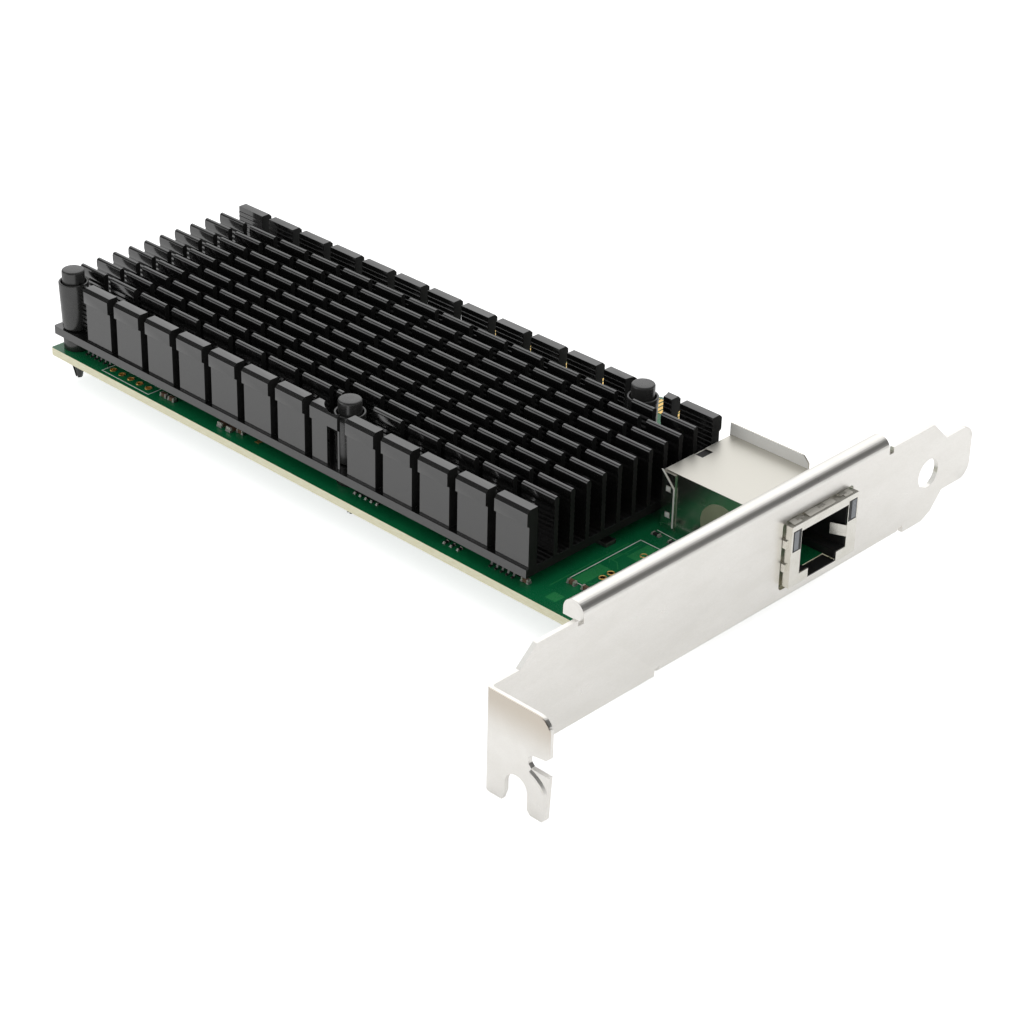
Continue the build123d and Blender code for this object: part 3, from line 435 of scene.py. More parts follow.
# each CAD node's finish
nodeFinish = {
    "board_laminate": ["circuit_board"],
    "gold_plate": ["contacts_component_side", "contacts_solder_side", "plated_rings", "port_contacts"],
    "anodised_aluminium": ["heat_sink"],
    "chip_moulding": ["controller_chip", "line_chip", "memory_chip", "power_switch_chip", "filter_block",
                      "regulator_chips"],
    "thermal_silicone": ["controller_chip_pad", "line_chip_pad"],
    "capacitor_ceramic": ["bulk_capacitors", "chip_capacitors", "coupling_capacitors", "solder_side_parts"],
    "resistor_film": ["chip_resistors"],
    "coil_moulding": ["power_coils"],
    "tinned_steel": ["port_tails"],
    "lead_metal": ["clock_crystals"],
    "nickel_sheet": ["port_can", "port_rear_cover"],
    "port_moulding": ["port_housing"],
    "clear_plastic": ["light_pipe_near", "light_pipe_far"],
    "sticker_film": ["round_sticker"],
    "bracket_steel": ["bracket"],
    "screw_steel": ["bracket_screws"],
    "pin_nylon": [kind + str(number) for kind in ("push_pin_", "pin_sleeve_", "pin_spacer_")
                  for number in (1, 2, 3)],
}
finishOf = {}
for finish, names in nodeFinish.items():
    for name in names:
        finishOf[name] = finish
        nodes[name].data.materials.clear()
        nodes[name].data.materials.append(materials[finish])


def finishedPiece(name, mesh, finish, replaced):
    mesh.materials.append(materials[finish])
    piece = linkedObject(name, mesh)
    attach(piece, "root")
    if replaced:
        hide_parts(*replaced)
    return piece


def addPiece(name, vertices, faces, finish, replaced=(), smoothAngle=None):
    mesh = bpy.data.meshes.new(name)
    mesh.from_pydata((np.asarray(vertices) * mm).tolist(), [], faces)
    mesh.update()
    if smoothAngle:
        mesh.shade_smooth()
        mesh.set_sharp_from_angle(angle=radians(smoothAngle))
    return finishedPiece(name, mesh, finish, replaced)


def secondFinish(piece, finish, isChosen):
    # faces whose normals are chosen take a second finish
    mesh = piece.data
    mesh.materials.append(materials[finish])
    ways = np.zeros(len(mesh.polygons) * 3)
    mesh.polygons.foreach_get("normal", ways)
    mesh.polygons.foreach_set("material_index", isChosen(ways.reshape(-1, 3)).astype(np.int32))


def boxOf(name):
    # lowest and highest corner of a CAD node, in millimetres
    low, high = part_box(name)
    return np.array(low) / mm, np.array(high) / mm


def joinPieces(parts):
    # several surfaces as one: vertices in a row, and faces counted on
    vertices, faces, offset = [], [], 0
    for partVertices, partFaces in parts:
        vertices.append(np.asarray(partVertices, float))
        faces += [[corner + offset for corner in face] for face in partFaces]
        offset += len(partVertices)
    return np.concatenate(vertices), faces


def ringFaces(rings, corners, closed=False):
    # a quad from each corner of a ring to the next ring and, where closed, a lid over both ends
    here = np.arange((rings - 1) * corners).reshape(rings - 1, corners)
    beside = np.roll(here, -1, axis=1)
    quads = np.stack([here, beside, beside + corners, here + corners], axis=2).reshape(-1, 4).tolist()
    first = list(range(corners))[::-1]
    last = list(range((rings - 1) * corners, rings * corners))
    return quads + [first, last] if closed else quads


def turnedSurface(profile, centre, segments, closed=False):
    # each point of the profile, a radius and a height, goes once round the centre line:
    # x and y are the centre plus the radius times the angle's cosine and sine, and z is the height
    profile = np.asarray(profile, float)
    angle = np.linspace(0, 2 * pi, segments, endpoint=False)
    radius = profile[:, 0][:, None]
    x = centre[0] + radius * np.cos(angle)[None]
    y = centre[1] + radius * np.sin(angle)[None]
    z = np.repeat(profile[:, 1][:, None], segments, axis=1)
    vertices = np.stack([x, y, z], axis=2).reshape(-1, 3)
    return vertices, ringFaces(len(profile), segments, closed)


def prismAlongY(outline, start, end):
    # outline of x and z, seen from the near side and turning left, carried from end back to start
    x, z = np.array(outline, float).T
    rings = [np.stack([x, np.full(len(x), y), z], axis=1) for y in (end, start)]
    return np.concatenate(rings), ringFaces(2, len(x), closed=True)


def prismsAlongX(profiles, spans):
    # each prism carries its own profile of y and z from the start to the end of its span;
    # the profiles turn left as seen from the right-hand end
    points = profiles.shape[1]
    x = np.repeat(spans[:, :, None], points, axis=2)
    y, z = (np.repeat(profiles[:, None, :, part], 2, axis=1) for part in (0, 1))
    prisms = np.stack([x, y, z], axis=3).reshape(len(spans), -1, 3)
    faces = ringFaces(2, points, closed=True)
    return joinPieces([(prism, faces) for prism in prisms])


def arcPoints(centre, radius, start, end, count):
    # points of a circle round the centre, at even angles in degrees
    angle = np.radians(np.linspace(start, end, count))
    x, z = centre[0] + radius * np.cos(angle), centre[1] + radius * np.sin(angle)
    return np.stack([x, z], axis=1).tolist()


def weldedShape(name):
    # a CAD node's loose triangles, where the node stands, with their doubles merged
    shape = bmesh.new()
    shape.from_mesh(nodes[name].data)
    bmesh.ops.transform(shape, matrix=nodes[name].matrix_world, verts=shape.verts)
    bmesh.ops.remove_doubles(shape, verts=shape.verts, dist=weldDistance * mm)
    return shape


# bevelled copies of the folded, cut and moulded CAD pieces
bevelSettings = {
    # node: width in millimetres, segments
    "bracket": (0.09, 2), "bracket_screws": (0.15, 2), "port_can": (0.05, 2), "port_rear_cover": (0.05, 2),
    "port_housing": (0.08, 2), "light_pipe_near": (0.06, 2), "light_pipe_far": (0.06, 2),
    "power_coils": (0.25, 3), "regulator_chips": (0.06, 1), "clock_crystals": (0.15, 2),
    "controller_chip": (0.06, 1), "line_chip": (0.06, 1),
}
copySettings = {
    "flatTurn": 1,          # degrees: faces that turn less become one
    "sharpTurn": 28,        # edges that turn more are shaded sharp
    "bevelTurn": 35,        # edges that turn more get the bevel
}
roundSettings = {
    "tongue": 0.9,          # radius of the bracket's corners at the tongue's tip
    "tongueReach": 3.0,     # these lie within this distance of the tip
    "ear": 0.8,             # radius of the ear's own two corners
    "earReach": 1.0,
    "earAbove": 6.0,
    "sheet": 1.0,           # an edge through the sheet is shorter than this
    "cornerTurn": 25,       # degrees
    "straight": 0.99,       # share of such an edge's length that runs straight through
    "segments": 4,
}
slantSettings = {"near": -0.3, "up": 0.3}       # normals of the bracket's slanting cut edges


def roundedCorners(shape, axis, isCorner, width):
    # the short edges through the sheet at some corners, each rounded by a wide bevel
    turn = radians(roundSettings["cornerTurn"])
    chosen = []
    for edge in shape.edges:
        first, last = [vertex.co / mm for vertex in edge.verts]
        way = last - first
        straight = abs(way[axis]) >= roundSettings["straight"] * way.length
        isThrough = straight and way.length < roundSettings["sheet"]
        if len(edge.link_faces) != 2 or not isThrough or edge.calc_face_angle(0) < turn:
            continue
        if isCorner((first + last) / 2):
            chosen.append(edge)
    segments = roundSettings["segments"]
    bmesh.ops.bevel(shape, geom=chosen, offset=width * mm, segments=segments, affect="EDGES", profile=0.5)


def roundedBracket(shape):
    low, high = boxOf("bracket")
    tip, ear = high[1] - roundSettings["tongueReach"], low[1] + roundSettings["earReach"]
    level = roundSettings["earAbove"]
    roundedCorners(shape, 0, lambda at: at.y > tip, roundSettings["tongue"])
    roundedCorners(shape, 1, lambda at: at.y < ear and at.z > level, roundSettings["ear"])
    bmesh.ops.triangulate(shape, faces=shape.faces)


def bevelledCopy(name, width, segments, keepFace=None):
    # a copy of a CAD node with its flat faces whole, soft edges and, where asked, only some of its faces
    shape = weldedShape(name)
    if keepFace:
        dropped = [face for face in shape.faces if not keepFace(face.calc_center_median() / mm)]
        bmesh.ops.delete(shape, geom=dropped, context="FACES")
    flatTurn = radians(copySettings["flatTurn"])
    bmesh.ops.dissolve_limit(shape, angle_limit=flatTurn, verts=shape.verts, edges=shape.edges)
    if name == "bracket":
        roundedBracket(shape)
    mesh = bpy.data.meshes.new(name + "Copy")
    shape.to_mesh(mesh)
    shape.free()
    mesh.shade_smooth()
    mesh.set_sharp_from_angle(angle=radians(copySettings["sharpTurn"]))
    piece = finishedPiece(name + "Copy", mesh, finishOf[name], (name,))
    bevel = piece.modifiers.new("softEdges", "BEVEL")
    bevel.width = width * mm
    bevel.segments = segments
    bevel.limit_method = "ANGLE"
    bevel.angle_limit = radians(copySettings["bevelTurn"])
    bevel.harden_normals = True
    return piece


def isSlanting(ways):
    return (ways[:, 1] < slantSettings["near"]) & (ways[:, 2] > slantSettings["up"])


for name, (width, segments) in bevelSettings.items():
    piece = bevelledCopy(name, width, segments)
    if name == "bracket":
        # the bracket's slanting cut edges take the pale finish as a painted highlight
        secondFinish(piece, "bright_sheet", isSlanting)
print("stage: bevelled copies,", len(bevelSettings))

# heat sink: base and lipped outer rows from the CAD node, inner fins with their fine ribs
sinkSettings = {
    "baseThickness": 1.6,
    "ledge": 1.06,
    "cuts": 13,
    "cutWidth": 1.9,
    "firstBlock": 6.89,
    "lastBlock": 7.43,
    "rows": 10,
    "rowPitch": 3.8,
    "finThickness": 1.1,
    "crown": 0.6,           # rounding of a fin's top
    "ribPitch": 0.92,
    "ribDepth": 0.14,
    "outerRibDepth": 0.08,
    "outerThickness": 2.4,
    "pocketRadius": 4.4,
    "shortest": 0.3,        # a shorter rest of a block beside a pocket is left out
    "softEdge": 0.07,
    "softSegments": 2,
    "finSunk": 0.05,        # fins start this far inside the base
    "crownPoints": 9,
    "rowMargin": 0.2,       # between the inner fins' faces and the outer rows' own
    "plainTop": 0.8,        # of an outer row's inner face, above its ribs
    "firstRib": 0.3,
    "ribShape": (0.0, 0.12, 0.42, 0.54),        # height of a rib's root, crest, crest and root
    "ribSunk": 0.02,
    "ribEndGap": 0.06,
    "sawnWay": 0.9,         # faces that look along x were sawn, and take the second, dull finish
}


def finProfile(settings, baseTop, finTop):
    # up one side in a zigzag of ribs, round the top in an arc, and down the other side
    half = settings["finThickness"] / 2
    low, high = baseTop - settings["finSunk"], finTop - settings["crown"]
    count = 2 * int((high - low) / settings["ribPitch"]) + 1
    level = np.linspace(low, high, count)
    ribs = np.where(np.arange(count) % 2 == 0, 0.0, settings["ribDepth"])
    ribs[-2] = 0.0          # plain under the rounded top
    side = np.stack([half - ribs, level], axis=1)
    turn = np.linspace(0, pi, settings["crownPoints"])[1:-1]
    crown = np.stack([half * np.cos(turn), high + settings["crown"] * np.sin(turn)], axis=1)
    return np.concatenate([side, crown, side[::-1] * (-1, 1)])


def clearOfPockets(pieces, y, pockets, settings):
    # the parts of a row of blocks that the round pockets leave standing at one y
    for pocketX, pocketY in pockets:
        reach = settings["pocketRadius"] ** 2 - (y - pocketY) ** 2
        if reach <= 0:
            continue
        half = sqrt(reach)
        left = [(a, min(b, pocketX - half)) for a, b in pieces]
        right = [(max(a, pocketX + half), b) for a, b in pieces]
        pieces = sorted(set((a, b) for a, b in left + right if b - a > settings["shortest"]))
    return pieces


def addOuterRibs(settings, box, blocks, pockets, levels):
    # both outer rows have the same ribs on their inner faces
    low, high = box
    baseTop, finTop = levels
    count = int((finTop - settings["plainTop"] - baseTop) / settings["ribPitch"])
    level = baseTop + settings["firstRib"] + settings["ribPitch"] * np.arange(count)
    rise = np.array(settings["ribShape"])
    sunk, depth = settings["ribSunk"], settings["outerRibDepth"]
    out = np.array([-sunk, depth, depth, -sunk])
    gap = settings["ribEndGap"]
    parts = []
    thickness = settings["outerThickness"]
    for face, way in ((low[1] + thickness, 1), (high[1] - thickness, -1)):
        pieces = clearOfPockets(list(zip(*blocks)), face, pockets, settings)
        spans = np.array([(a + gap, b - gap) for a, b in pieces])
        for z in level:
            outline = np.stack([face + out * way, z + rise], axis=1)[::way]
            parts.append(prismsAlongX(np.repeat(outline[None], len(spans), axis=0), spans))
    addPiece("outerRibs", *joinPieces(parts), "anodised_aluminium", ("heat_sink",))


def addHeatSink(settings):
    low, high = boxOf("heat_sink")
    baseTop = low[2] + settings["baseThickness"]
    finTop = high[2]
    middle = (low[1] + high[1]) / 2
    innerHalf = (high[1] - low[1]) / 2 - settings["outerThickness"] - settings["rowMargin"]

    def isOuter(at):
        return abs(at.y - middle) > innerHalf or at.z < baseTop + sameLevel

    def isSawn(ways):
        return ways[:, 0] > settings["sawnWay"]

    outerRows = bevelledCopy("heat_sink", settings["softEdge"], settings["softSegments"], isOuter)
    firstCut = low[0] + settings["ledge"] + settings["firstBlock"]
    lastCut = high[0] - settings["lastBlock"] - settings["cutWidth"]
    cutStart = np.linspace(firstCut, lastCut, settings["cuts"])
    starts = np.concatenate([[low[0] + settings["ledge"]], cutStart + settings["cutWidth"]])
    ends = np.concatenate([cutStart, [high[0]]])
    rowY = middle + settings["rowPitch"] * (np.arange(settings["rows"]) - (settings["rows"] - 1) / 2)
    pockets = []
    for number in (2, 3):
        pinLow, pinHigh = boxOf("push_pin_" + str(number))
        pockets.append((pinLow + pinHigh)[:2] / 2)
    spans, places = [], []
    for y in rowY:
        pieces = clearOfPockets(list(zip(starts, ends)), y, pockets, settings)
        spans += pieces
        places += [y] * len(pieces)
    addOuterRibs(settings, (low, high), (starts, ends), pockets, (baseTop, finTop))
    profile = finProfile(settings, baseTop, finTop)
    profiles = np.repeat(profile[None], len(spans), axis=0)
    profiles[:, :, 0] += np.array(places)[:, None]
    vertices, faces = prismsAlongX(profiles, np.array(spans))
    fins = addPiece("sinkFins", vertices, faces, "anodised_aluminium", ("heat_sink",), smoothAngle=30)
    secondFinish(fins, "sawn_aluminium", isSawn)
    secondFinish(outerRows, "sawn_aluminium", isSawn)


addHeatSink(sinkSettings)
print("stage: heat sink")

# push pins: caps, shanks and spacers, and their sleeves, which are tapered cups open at the top
capSettings = {
    "radius": 2.13,
    "height": 4.4,
    "round": 0.42,
    "underEdge": 0.1,
    "lids": (0.3, 0.6),     # radius of the flat middle below and above
    "shankEdge": 0.08,      # bevel of the split tip and the shank
    "segments": 40,
    "spacerRadius": 2.5,
    "spacerBore": 1.4,
    "spacerEdge": 0.12,
}
sleeveSettings = {
    "footRadius": 2.5,
    "rimRadius": 2.82,
    "wall": 0.42,
    "footRound": 0.55,
    "rimRound": 0.16,
    "bore": 1.3,
    "floorBelowRim": 2.3,
    "segments": 40,
}


def addTurned(label, node, profile, segments, smoothAngle, closed=False):
    # one turned piece in the place of a CAD node, on the node's centre line
    low, high = boxOf(node)
    surface = turnedSurface(profile, (low + high)[:2] / 2, segments, closed)
    addPiece(label, *surface, "pin_nylon", (node,), smoothAngle)


def addSleeve(number, settings):
    # up the tapered wall with a rounded foot and rim, and down into the mouth to its floor
    name = "pin_sleeve_" + str(number)
    low, high = boxOf(name)
    foot, rim = low[2], high[2]
    mouth = rim - settings["floorBelowRim"]
    inner = settings["rimRadius"] - settings["wall"]
    round1, round2 = settings["footRound"], settings["rimRound"]
    profile = [(settings["bore"], foot)]
    profile += arcPoints((settings["footRadius"] - round1, foot + round1), round1, -90, 0, 5)
    profile += arcPoints((settings["rimRadius"] - round2, rim - round2), round2, 0, 90, 4)
    profile += arcPoints((inner + round2, rim - round2), round2, 90, 180, 4)
    profile += [(inner, mouth), (settings["bore"], mouth), (settings["bore"], foot)]
    addTurned("sleeve" + str(number), name, profile, settings["segments"], smoothAngle=35)


def addPin(number, settings):
    # the turned cap with its rounded edge, and the CAD pin's own shank and split tip below it
    name = "push_pin_" + str(number)
    top = boxOf(name)[1][2]
    under = top - settings["height"]
    bevelledCopy(name, settings["shankEdge"], 1, lambda at: at.z < under - sameLevel)
    radius, soft, edge = settings["radius"], settings["round"], settings["underEdge"]
    lidBelow, lidAbove = settings["lids"]
    profile = [(lidBelow, under), (radius - edge, under), (radius, under + edge)]
    profile += arcPoints((radius - soft, top - soft), soft, 0, 90, 6) + [(lidAbove, top)]
    addTurned("cap" + str(number), name, profile, settings["segments"], smoothAngle=35, closed=True)


def addSpacer(number, settings):
    # a washer with small edges
    name = "pin_spacer_" + str(number)
    low, high = [corner[2] for corner in boxOf(name)]
    outer, inner, edge = settings["spacerRadius"], settings["spacerBore"], settings["spacerEdge"]
    profile = [(inner, low), (outer - edge, low), (outer, low + edge), (outer, high - edge),
               (outer - edge, high), (inner, high), (inner, low)]
    addTurned("spacer" + str(number), name, profile, settings["segments"], smoothAngle=50)


for number in (1, 2, 3):
    addSleeve(number, sleeveSettings)
    addPin(number, capSettings)
    addSpacer(number, capSettings)
print("stage: sleeves and pins")

# plated holes: a ring on each face of the board and the barrel between them
ringSettings = {
    "outer": 0.72,
    "inner": 0.46,
    "stand": 0.13,
    "edge": 0.04,           # a ring's rounding: this far in from its edges it has most of its height
    "edgeShare": 0.7,
    "wellGap": 0.02,
    "segments": 24,
    # an open via's well is a dark lining inside its barrel, painted shade
    "lone": 30.0,           # holes past this x are open vias with a dark well
}


def looseBoxes(name):
    # lowest and highest corner of every separate solid of a CAD node, in millimetres
    shape = weldedShape(name)
    joined = bpy.data.meshes.new(name + "Joined")
    shape.to_mesh(joined)
    shape.free()
    points = np.zeros(len(joined.vertices) * 3)
    joined.vertices.foreach_get("co", points)
    points = points.reshape(-1, 3) / mm
    ends = np.zeros(len(joined.edges) * 2, np.int32)
    joined.edges.foreach_get("vertices", ends)
    start, end = ends.reshape(-1, 2).T
    bpy.data.meshes.remove(joined)
    # the lowest number spreads along the edges until each solid has one of its own
    labels = np.arange(len(points))
    settled = False
    while not settled:
        lowest = np.minimum(labels[start], labels[end])
        spread = labels.copy()
        np.minimum.at(spread, start, lowest)
        np.minimum.at(spread, end, lowest)
        settled = np.array_equal(spread, labels)
        labels = spread
    solids = [points[labels == label] for label in np.unique(labels)]
    boxes = [(solid.min(axis=0), solid.max(axis=0)) for solid in solids]
    return sorted(boxes, key=lambda pair: tuple(np.round(pair[0], 3)))


def addRings(settings):
    # down the hole on the inside, and over a low rounded ring on each face of the board
    bottom = boxOf("circuit_board")[0][2]
    outer, inner, stand, edge = settings["outer"], settings["inner"], settings["stand"], settings["edge"]
    middle = (outer + inner) / 2
    shoulder = settings["edgeShare"] * stand
    profile = [
        (outer, 0.0), (outer - edge, shoulder), (middle, stand), (inner + edge, shoulder), (inner, 0.0),
        (inner, bottom), (inner + edge, bottom - shoulder), (middle, bottom - stand),
        (outer - edge, bottom - shoulder), (outer, bottom),
    ]
    gap = settings["wellGap"]
    well = [(inner - gap, bottom - gap), (inner - gap, gap)]
    parts, wells = [], []
    for low, high in looseBoxes("plated_rings"):
        centre = (low + high)[:2] / 2
        # an open via gets a dark lining just inside its barrel, as painted shade in the hole
        if centre[0] > settings["lone"]:
            vertices, faces = turnedSurface(well, centre, settings["segments"])
            wells.append((vertices, [face[::-1] for face in faces]))
        parts.append(turnedSurface(profile, centre, settings["segments"]))
    addPiece("platedHoles", *joinPieces(parts), "gold_plate", ("plated_rings",), smoothAngle=30)
    addPiece("holeShadeLining", *joinPieces(wells), "hole_wall", ("plated_rings",), smoothAngle=40)


addRings(ringSettings)

# chip capacitors and resistors: a body, two tinned ends and the solder at their feet
chipPartSettings = {
    "endShare": 0.22,        # of the length, for each tinned end
    "bodyInset": 0.05,
    "bodyShort": 0.08,
    "bodySoft": 0.02,
    "soft": 0.06,
    "solderHeight": 0.45,    # of the part's height
    "solderReach": 0.1,
    "solderMargin": 0.05,
    "solderLean": 0.16,      # width that the solder loses on its way up
    "solderLeast": 0.3,      # share of its width that it keeps at least
    "solderSide": -0.1,      # a part below this level hangs under the board
}


def softBox(low, high, soft):
    # a box whose edges and corners are cut by a small bevel: four eight-cornered rings between two lids
    low, high = np.asarray(low, float), np.asarray(high, float)
    levels = [low[2], low[2] + soft, high[2] - soft, high[2]]
    insets = [soft, 0.0, 0.0, soft]
    rings = []
    for level, inset in zip(levels, insets):
        x0, y0, x1, y1 = low[0] + inset, low[1] + inset, high[0] - inset, high[1] - inset
        rings.append([
            (x0 + soft, y0, level), (x1 - soft, y0, level), (x1, y0 + soft, level), (x1, y1 - soft, level),
            (x1 - soft, y1, level), (x0 + soft, y1, level), (x0, y1 - soft, level), (x0, y0 + soft, level),
        ])
    return np.array(rings).reshape(-1, 3), ringFaces(len(rings), len(rings[0]), closed=True)


def wedge(low, high, lean):
    # a block whose top is drawn in by lean on every side
    (x0, y0, z0), (x1, y1, z1) = low, high
    foot = [(x0, y0, z0), (x1, y0, z0), (x1, y1, z0), (x0, y1, z0)]
    top = [(x0 + lean, y0 + lean, z1), (x1 - lean, y0 + lean, z1), (x1 - lean, y1 - lean, z1),
           (x0 + lean, y1 - lean, z1)]
    return np.array(foot + top), ringFaces(2, len(foot), closed=True)


def solderFoot(low, high, ground, settings):
    # wide at the board and narrow at the top: the upper corners are drawn towards the middle
    vertices, faces = wedge(low, high, 0.0)
    upper = vertices[:, 2] != ground
    middle = (low + high) / 2
    narrow = np.clip((high - low - settings["solderLean"]) / (high - low), settings["solderLeast"], 1)
    vertices[upper, :2] = middle[:2] + (vertices[upper, :2] - middle[:2]) * narrow[:2]
    return vertices, faces


def addChipParts(node, finish, settings):
    bodies, ends, solder = [], [], []
    for low, high in looseBoxes(node):
        size = high - low
        along = 0 if size[0] > size[1] else 1
        isUnder = low[2] < settings["solderSide"]
        ground, top = (high[2], low[2]) if isUnder else (low[2], high[2])
        inset = np.zeros(3)
        inset[1 - along] = settings["bodyInset"]
        inset[along] = settings["bodyShort"]
        bodyLow, bodyHigh = low + inset, high - inset
        if isUnder:
            bodyLow[2] += settings["bodyInset"]
        else:
            bodyHigh[2] -= settings["bodyInset"]
        bodies.append(softBox(bodyLow, bodyHigh, settings["bodySoft"]))
        endLength = settings["endShare"] * size[along]
        rise = (top - ground) * settings["solderHeight"]
        for side, way in ((0, -1), (1, 1)):
            box = np.array([low, high])
            box[1 - side, along] = box[side, along] - way * endLength
            ends.append(softBox(*box, min(settings["soft"], endLength / 4)))
            box[:, :2] += np.array([[-1], [1]]) * settings["solderMargin"]
            box[side, along] += way * settings["solderReach"]
            box[:, 2] = sorted((ground, ground + rise))
            solder.append(solderFoot(*box, ground, settings))
    addPiece(node + "Bodies", *joinPieces(bodies), finish, (node,))
    addPiece(node + "Ends", *joinPieces(ends), "tinned_steel", (node,))
    addPiece(node + "Solder", *joinPieces(solder), "dull_solder", (node,))


for node in ("chip_capacitors", "coupling_capacitors", "bulk_capacitors", "solder_side_parts",
             "chip_resistors"):
    addChipParts(node, finishOf[node], chipPartSettings)
print("stage: chip parts")

# leaded chips: a moulded body and bent leads along both long sides
leadSettings = {
    "power_switch_chip": (6, 1.27),
    "memory_chip": (4, 1.27),
    "filter_block": (5, 1.27),
    "leadLength": 1.0,
    "leadWidth": 0.4,
    "leadThickness": 0.2,
    "leadOut": 0.28,        # straight out of the body before the bend
    "leadDown": 0.5,        # where the bend reaches the foot
    "bodyLift": 0.1,
    "draft": 0.18,
}


def addLeadedChip(node, settings):
    low, high = boxOf(node)
    count, pitch = settings[node]
    length, thick, draft = settings["leadLength"], settings["leadThickness"], settings["draft"]
    middle = (low[2] + high[2]) / 2
    halves = []
    # both halves of the body are widest where they meet
    for bottom, top in ((low[2] + settings["bodyLift"], middle), (middle, high[2])):
        vertices, faces = wedge((low[0], low[1] + length, bottom), (high[0], high[1] - length, top), draft)
        if bottom < middle:
            vertices[:4, 2], vertices[4:, 2] = top, bottom
            faces = [face[::-1] for face in faces]
        halves.append((vertices, faces))
    addPiece(node + "Body", *joinPieces(halves), "chip_moulding", (node,))
    # a lead runs out of the body, bends down and ends in a flat foot
    out, down = settings["leadOut"], settings["leadDown"]
    path = np.array([(0.0, middle), (out, middle), (down, thick), (length, thick)])
    under = path - (0, thick)
    outline = np.concatenate([path, under[::-1]])
    leads = []
    for side in (-1, 1):
        edge = low[1] + length if side < 0 else high[1] - length
        for number in range(count):
            x = (low[0] + high[0]) / 2 + pitch * (number - (count - 1) / 2)
            profile = np.stack([edge + side * outline[:, 0], outline[:, 1]], axis=1)
            span = np.array([[x - settings["leadWidth"] / 2, x + settings["leadWidth"] / 2]])
            vertices, faces = prismsAlongX(profile[None] if side < 0 else profile[None, ::-1], span)
            leads.append((vertices, faces))
    addPiece(node + "Leads", *joinPieces(leads), "lead_metal", (node,))


for node in ("power_switch_chip", "memory_chip", "filter_block"):
    addLeadedChip(node, leadSettings)
print("stage: leaded chips")

# board print: thin white outlines, covered copper areas and tracks, bare pads
printSettings = {
    "lineWidth": 0.16,
    "printHeight": 0.03,
    "trackWidth": 0.2,
    "trackHeight": 0.012,
    "areaSunk": 0.001,
    "areaSoft": 0.004,
    "padHeight": 0.04,
    "padSoft": 0.02,
    "outlines": [
        [(33.3, -59.7), (38.8, -59.7), (38.8, -42.0), (33.3, -42.0), (33.3, -59.7)],
        [(33.0, -37.5), (38.6, -37.8)],
        [(-77.4, -68.0), (-64.0, -68.0), (-64.0, -64.8), (-77.4, -64.8), (-77.4, -68.0)],
    ],
    "areas": [
        (33.7, -59.3, 36.2, -52.6), (35.2, -47.6, 38.5, -42.4), (34.5, -66.6, 36.8, -64.3),
    ],
    "tracks": [
        [(36.6, -58.6), (38.2, -57.0), (38.2, -49.0), (39.6, -47.6), (39.6, -41.0)],
        [(37.0, -51.8), (35.4, -50.2), (34.3, -50.2), (34.3, -43.0)],
        [(40.2, -64.0), (40.2, -48.2), (41.0, -47.4), (41.0, -40.0)],
        [(40.8, -64.0), (40.8, -48.4), (41.6, -47.6), (41.6, -40.0)],
        [(41.4, -64.0), (41.4, -48.6), (42.2, -47.8), (42.2, -40.0)],
        [(32.6, -63.5), (32.6, -44.0)],
        [(34.6, -51.2), (33.9, -50.5), (33.9, -47.8), (34.9, -46.8)],
    ],
    "pads": [(-36.5, -65.4, 1.1, 1.1), (45.0, -62.5, 1.0, 0.8)],
}


def stripAlong(points, width, height):
    # a flat strip of even width: at each point the two edges lie on the corner's middle line
    points = np.asarray(points, float)
    steps = np.diff(points, axis=0)
    ways = steps / np.linalg.norm(steps, axis=1)[:, None]
    sides = np.stack([-ways[:, 1], ways[:, 0]], axis=1)
    before = np.concatenate([sides[:1], sides])
    after = np.concatenate([sides, sides[-1:]])
    if np.allclose(points[0], points[-1]):
        before[0] = sides[-1]
        after[-1] = sides[0]
    corner = before + after
    corner /= (1 + (before * after).sum(axis=1))[:, None]
    left, right = points + corner * width / 2, points - corner * width / 2
    flat = np.concatenate([left, right])
    vertices = np.concatenate([np.c_[flat, np.full(len(flat), height)], np.c_[flat, np.zeros(len(flat))]])
    n = len(points)
    here = np.arange(n - 1)
    top = np.stack([here, here + n, here + n + 1, here + 1], axis=1)
    leftWall = np.stack([here, here + 1, here + 1 + 2 * n, here + 2 * n], axis=1)
    rightWall = np.stack([here + n + 1, here + n, here + 3 * n, here + 3 * n + 1], axis=1)
    return vertices, np.concatenate([top, leftWall, rightWall]).tolist()


def addPrint(settings):
    width, height = settings["lineWidth"], settings["printHeight"]
    lines = [stripAlong(points, width, height) for points in settings["outlines"]]
    addPiece("whiteOutlines", *joinPieces(lines), "white_print")
    width, height = settings["trackWidth"], settings["trackHeight"]
    areas = [softBox((x0, y0, -settings["areaSunk"]), (x1, y1, height), settings["areaSoft"])
             for x0, y0, x1, y1 in settings["areas"]]
    tracks = [stripAlong(points, width, height) for points in settings["tracks"]]
    addPiece("coveredCopper", *joinPieces(areas + tracks), "copper_under_mask")
    height, soft = settings["padHeight"], settings["padSoft"]
    pads = [softBox((x - w / 2, y - h / 2, 0), (x + w / 2, y + h / 2, height), soft)
            for x, y, w, h in settings["pads"]]
    addPiece("barePads", *joinPieces(pads), "gold_plate")


addPrint(printSettings)
print("stage: board print")

# solder side: cones round the port's tails and legs
jointSettings = {
    "foot": 0.75,
    "height": 0.9,
    "top": 0.3,
    "rings": 6,
    "segments": 20,
}


def addSolderJoints(settings):
    bottom = boxOf("circuit_board")[0][2]
    across = np.linspace(0, 1, settings["rings"])
    # the cone's side curves inwards: its radius falls with the square root of the height
    radius = settings["foot"] + (settings["top"] - settings["foot"]) * np.sqrt(across)
    profile = np.stack([radius, bottom - settings["height"] * across], axis=1)[::-1]
    parts = []
    for low, high in looseBoxes("port_tails"):
        parts.append(turnedSurface(profile, (low + high)[:2] / 2, settings["segments"], closed=True))
    addPiece("tailSolder", *joinPieces(parts), "dull_solder", smoothAngle=50)


addSolderJoints(jointSettings)

# round sticker: a thin disc on the can's near side
stickerSettings = {"segments": 64}


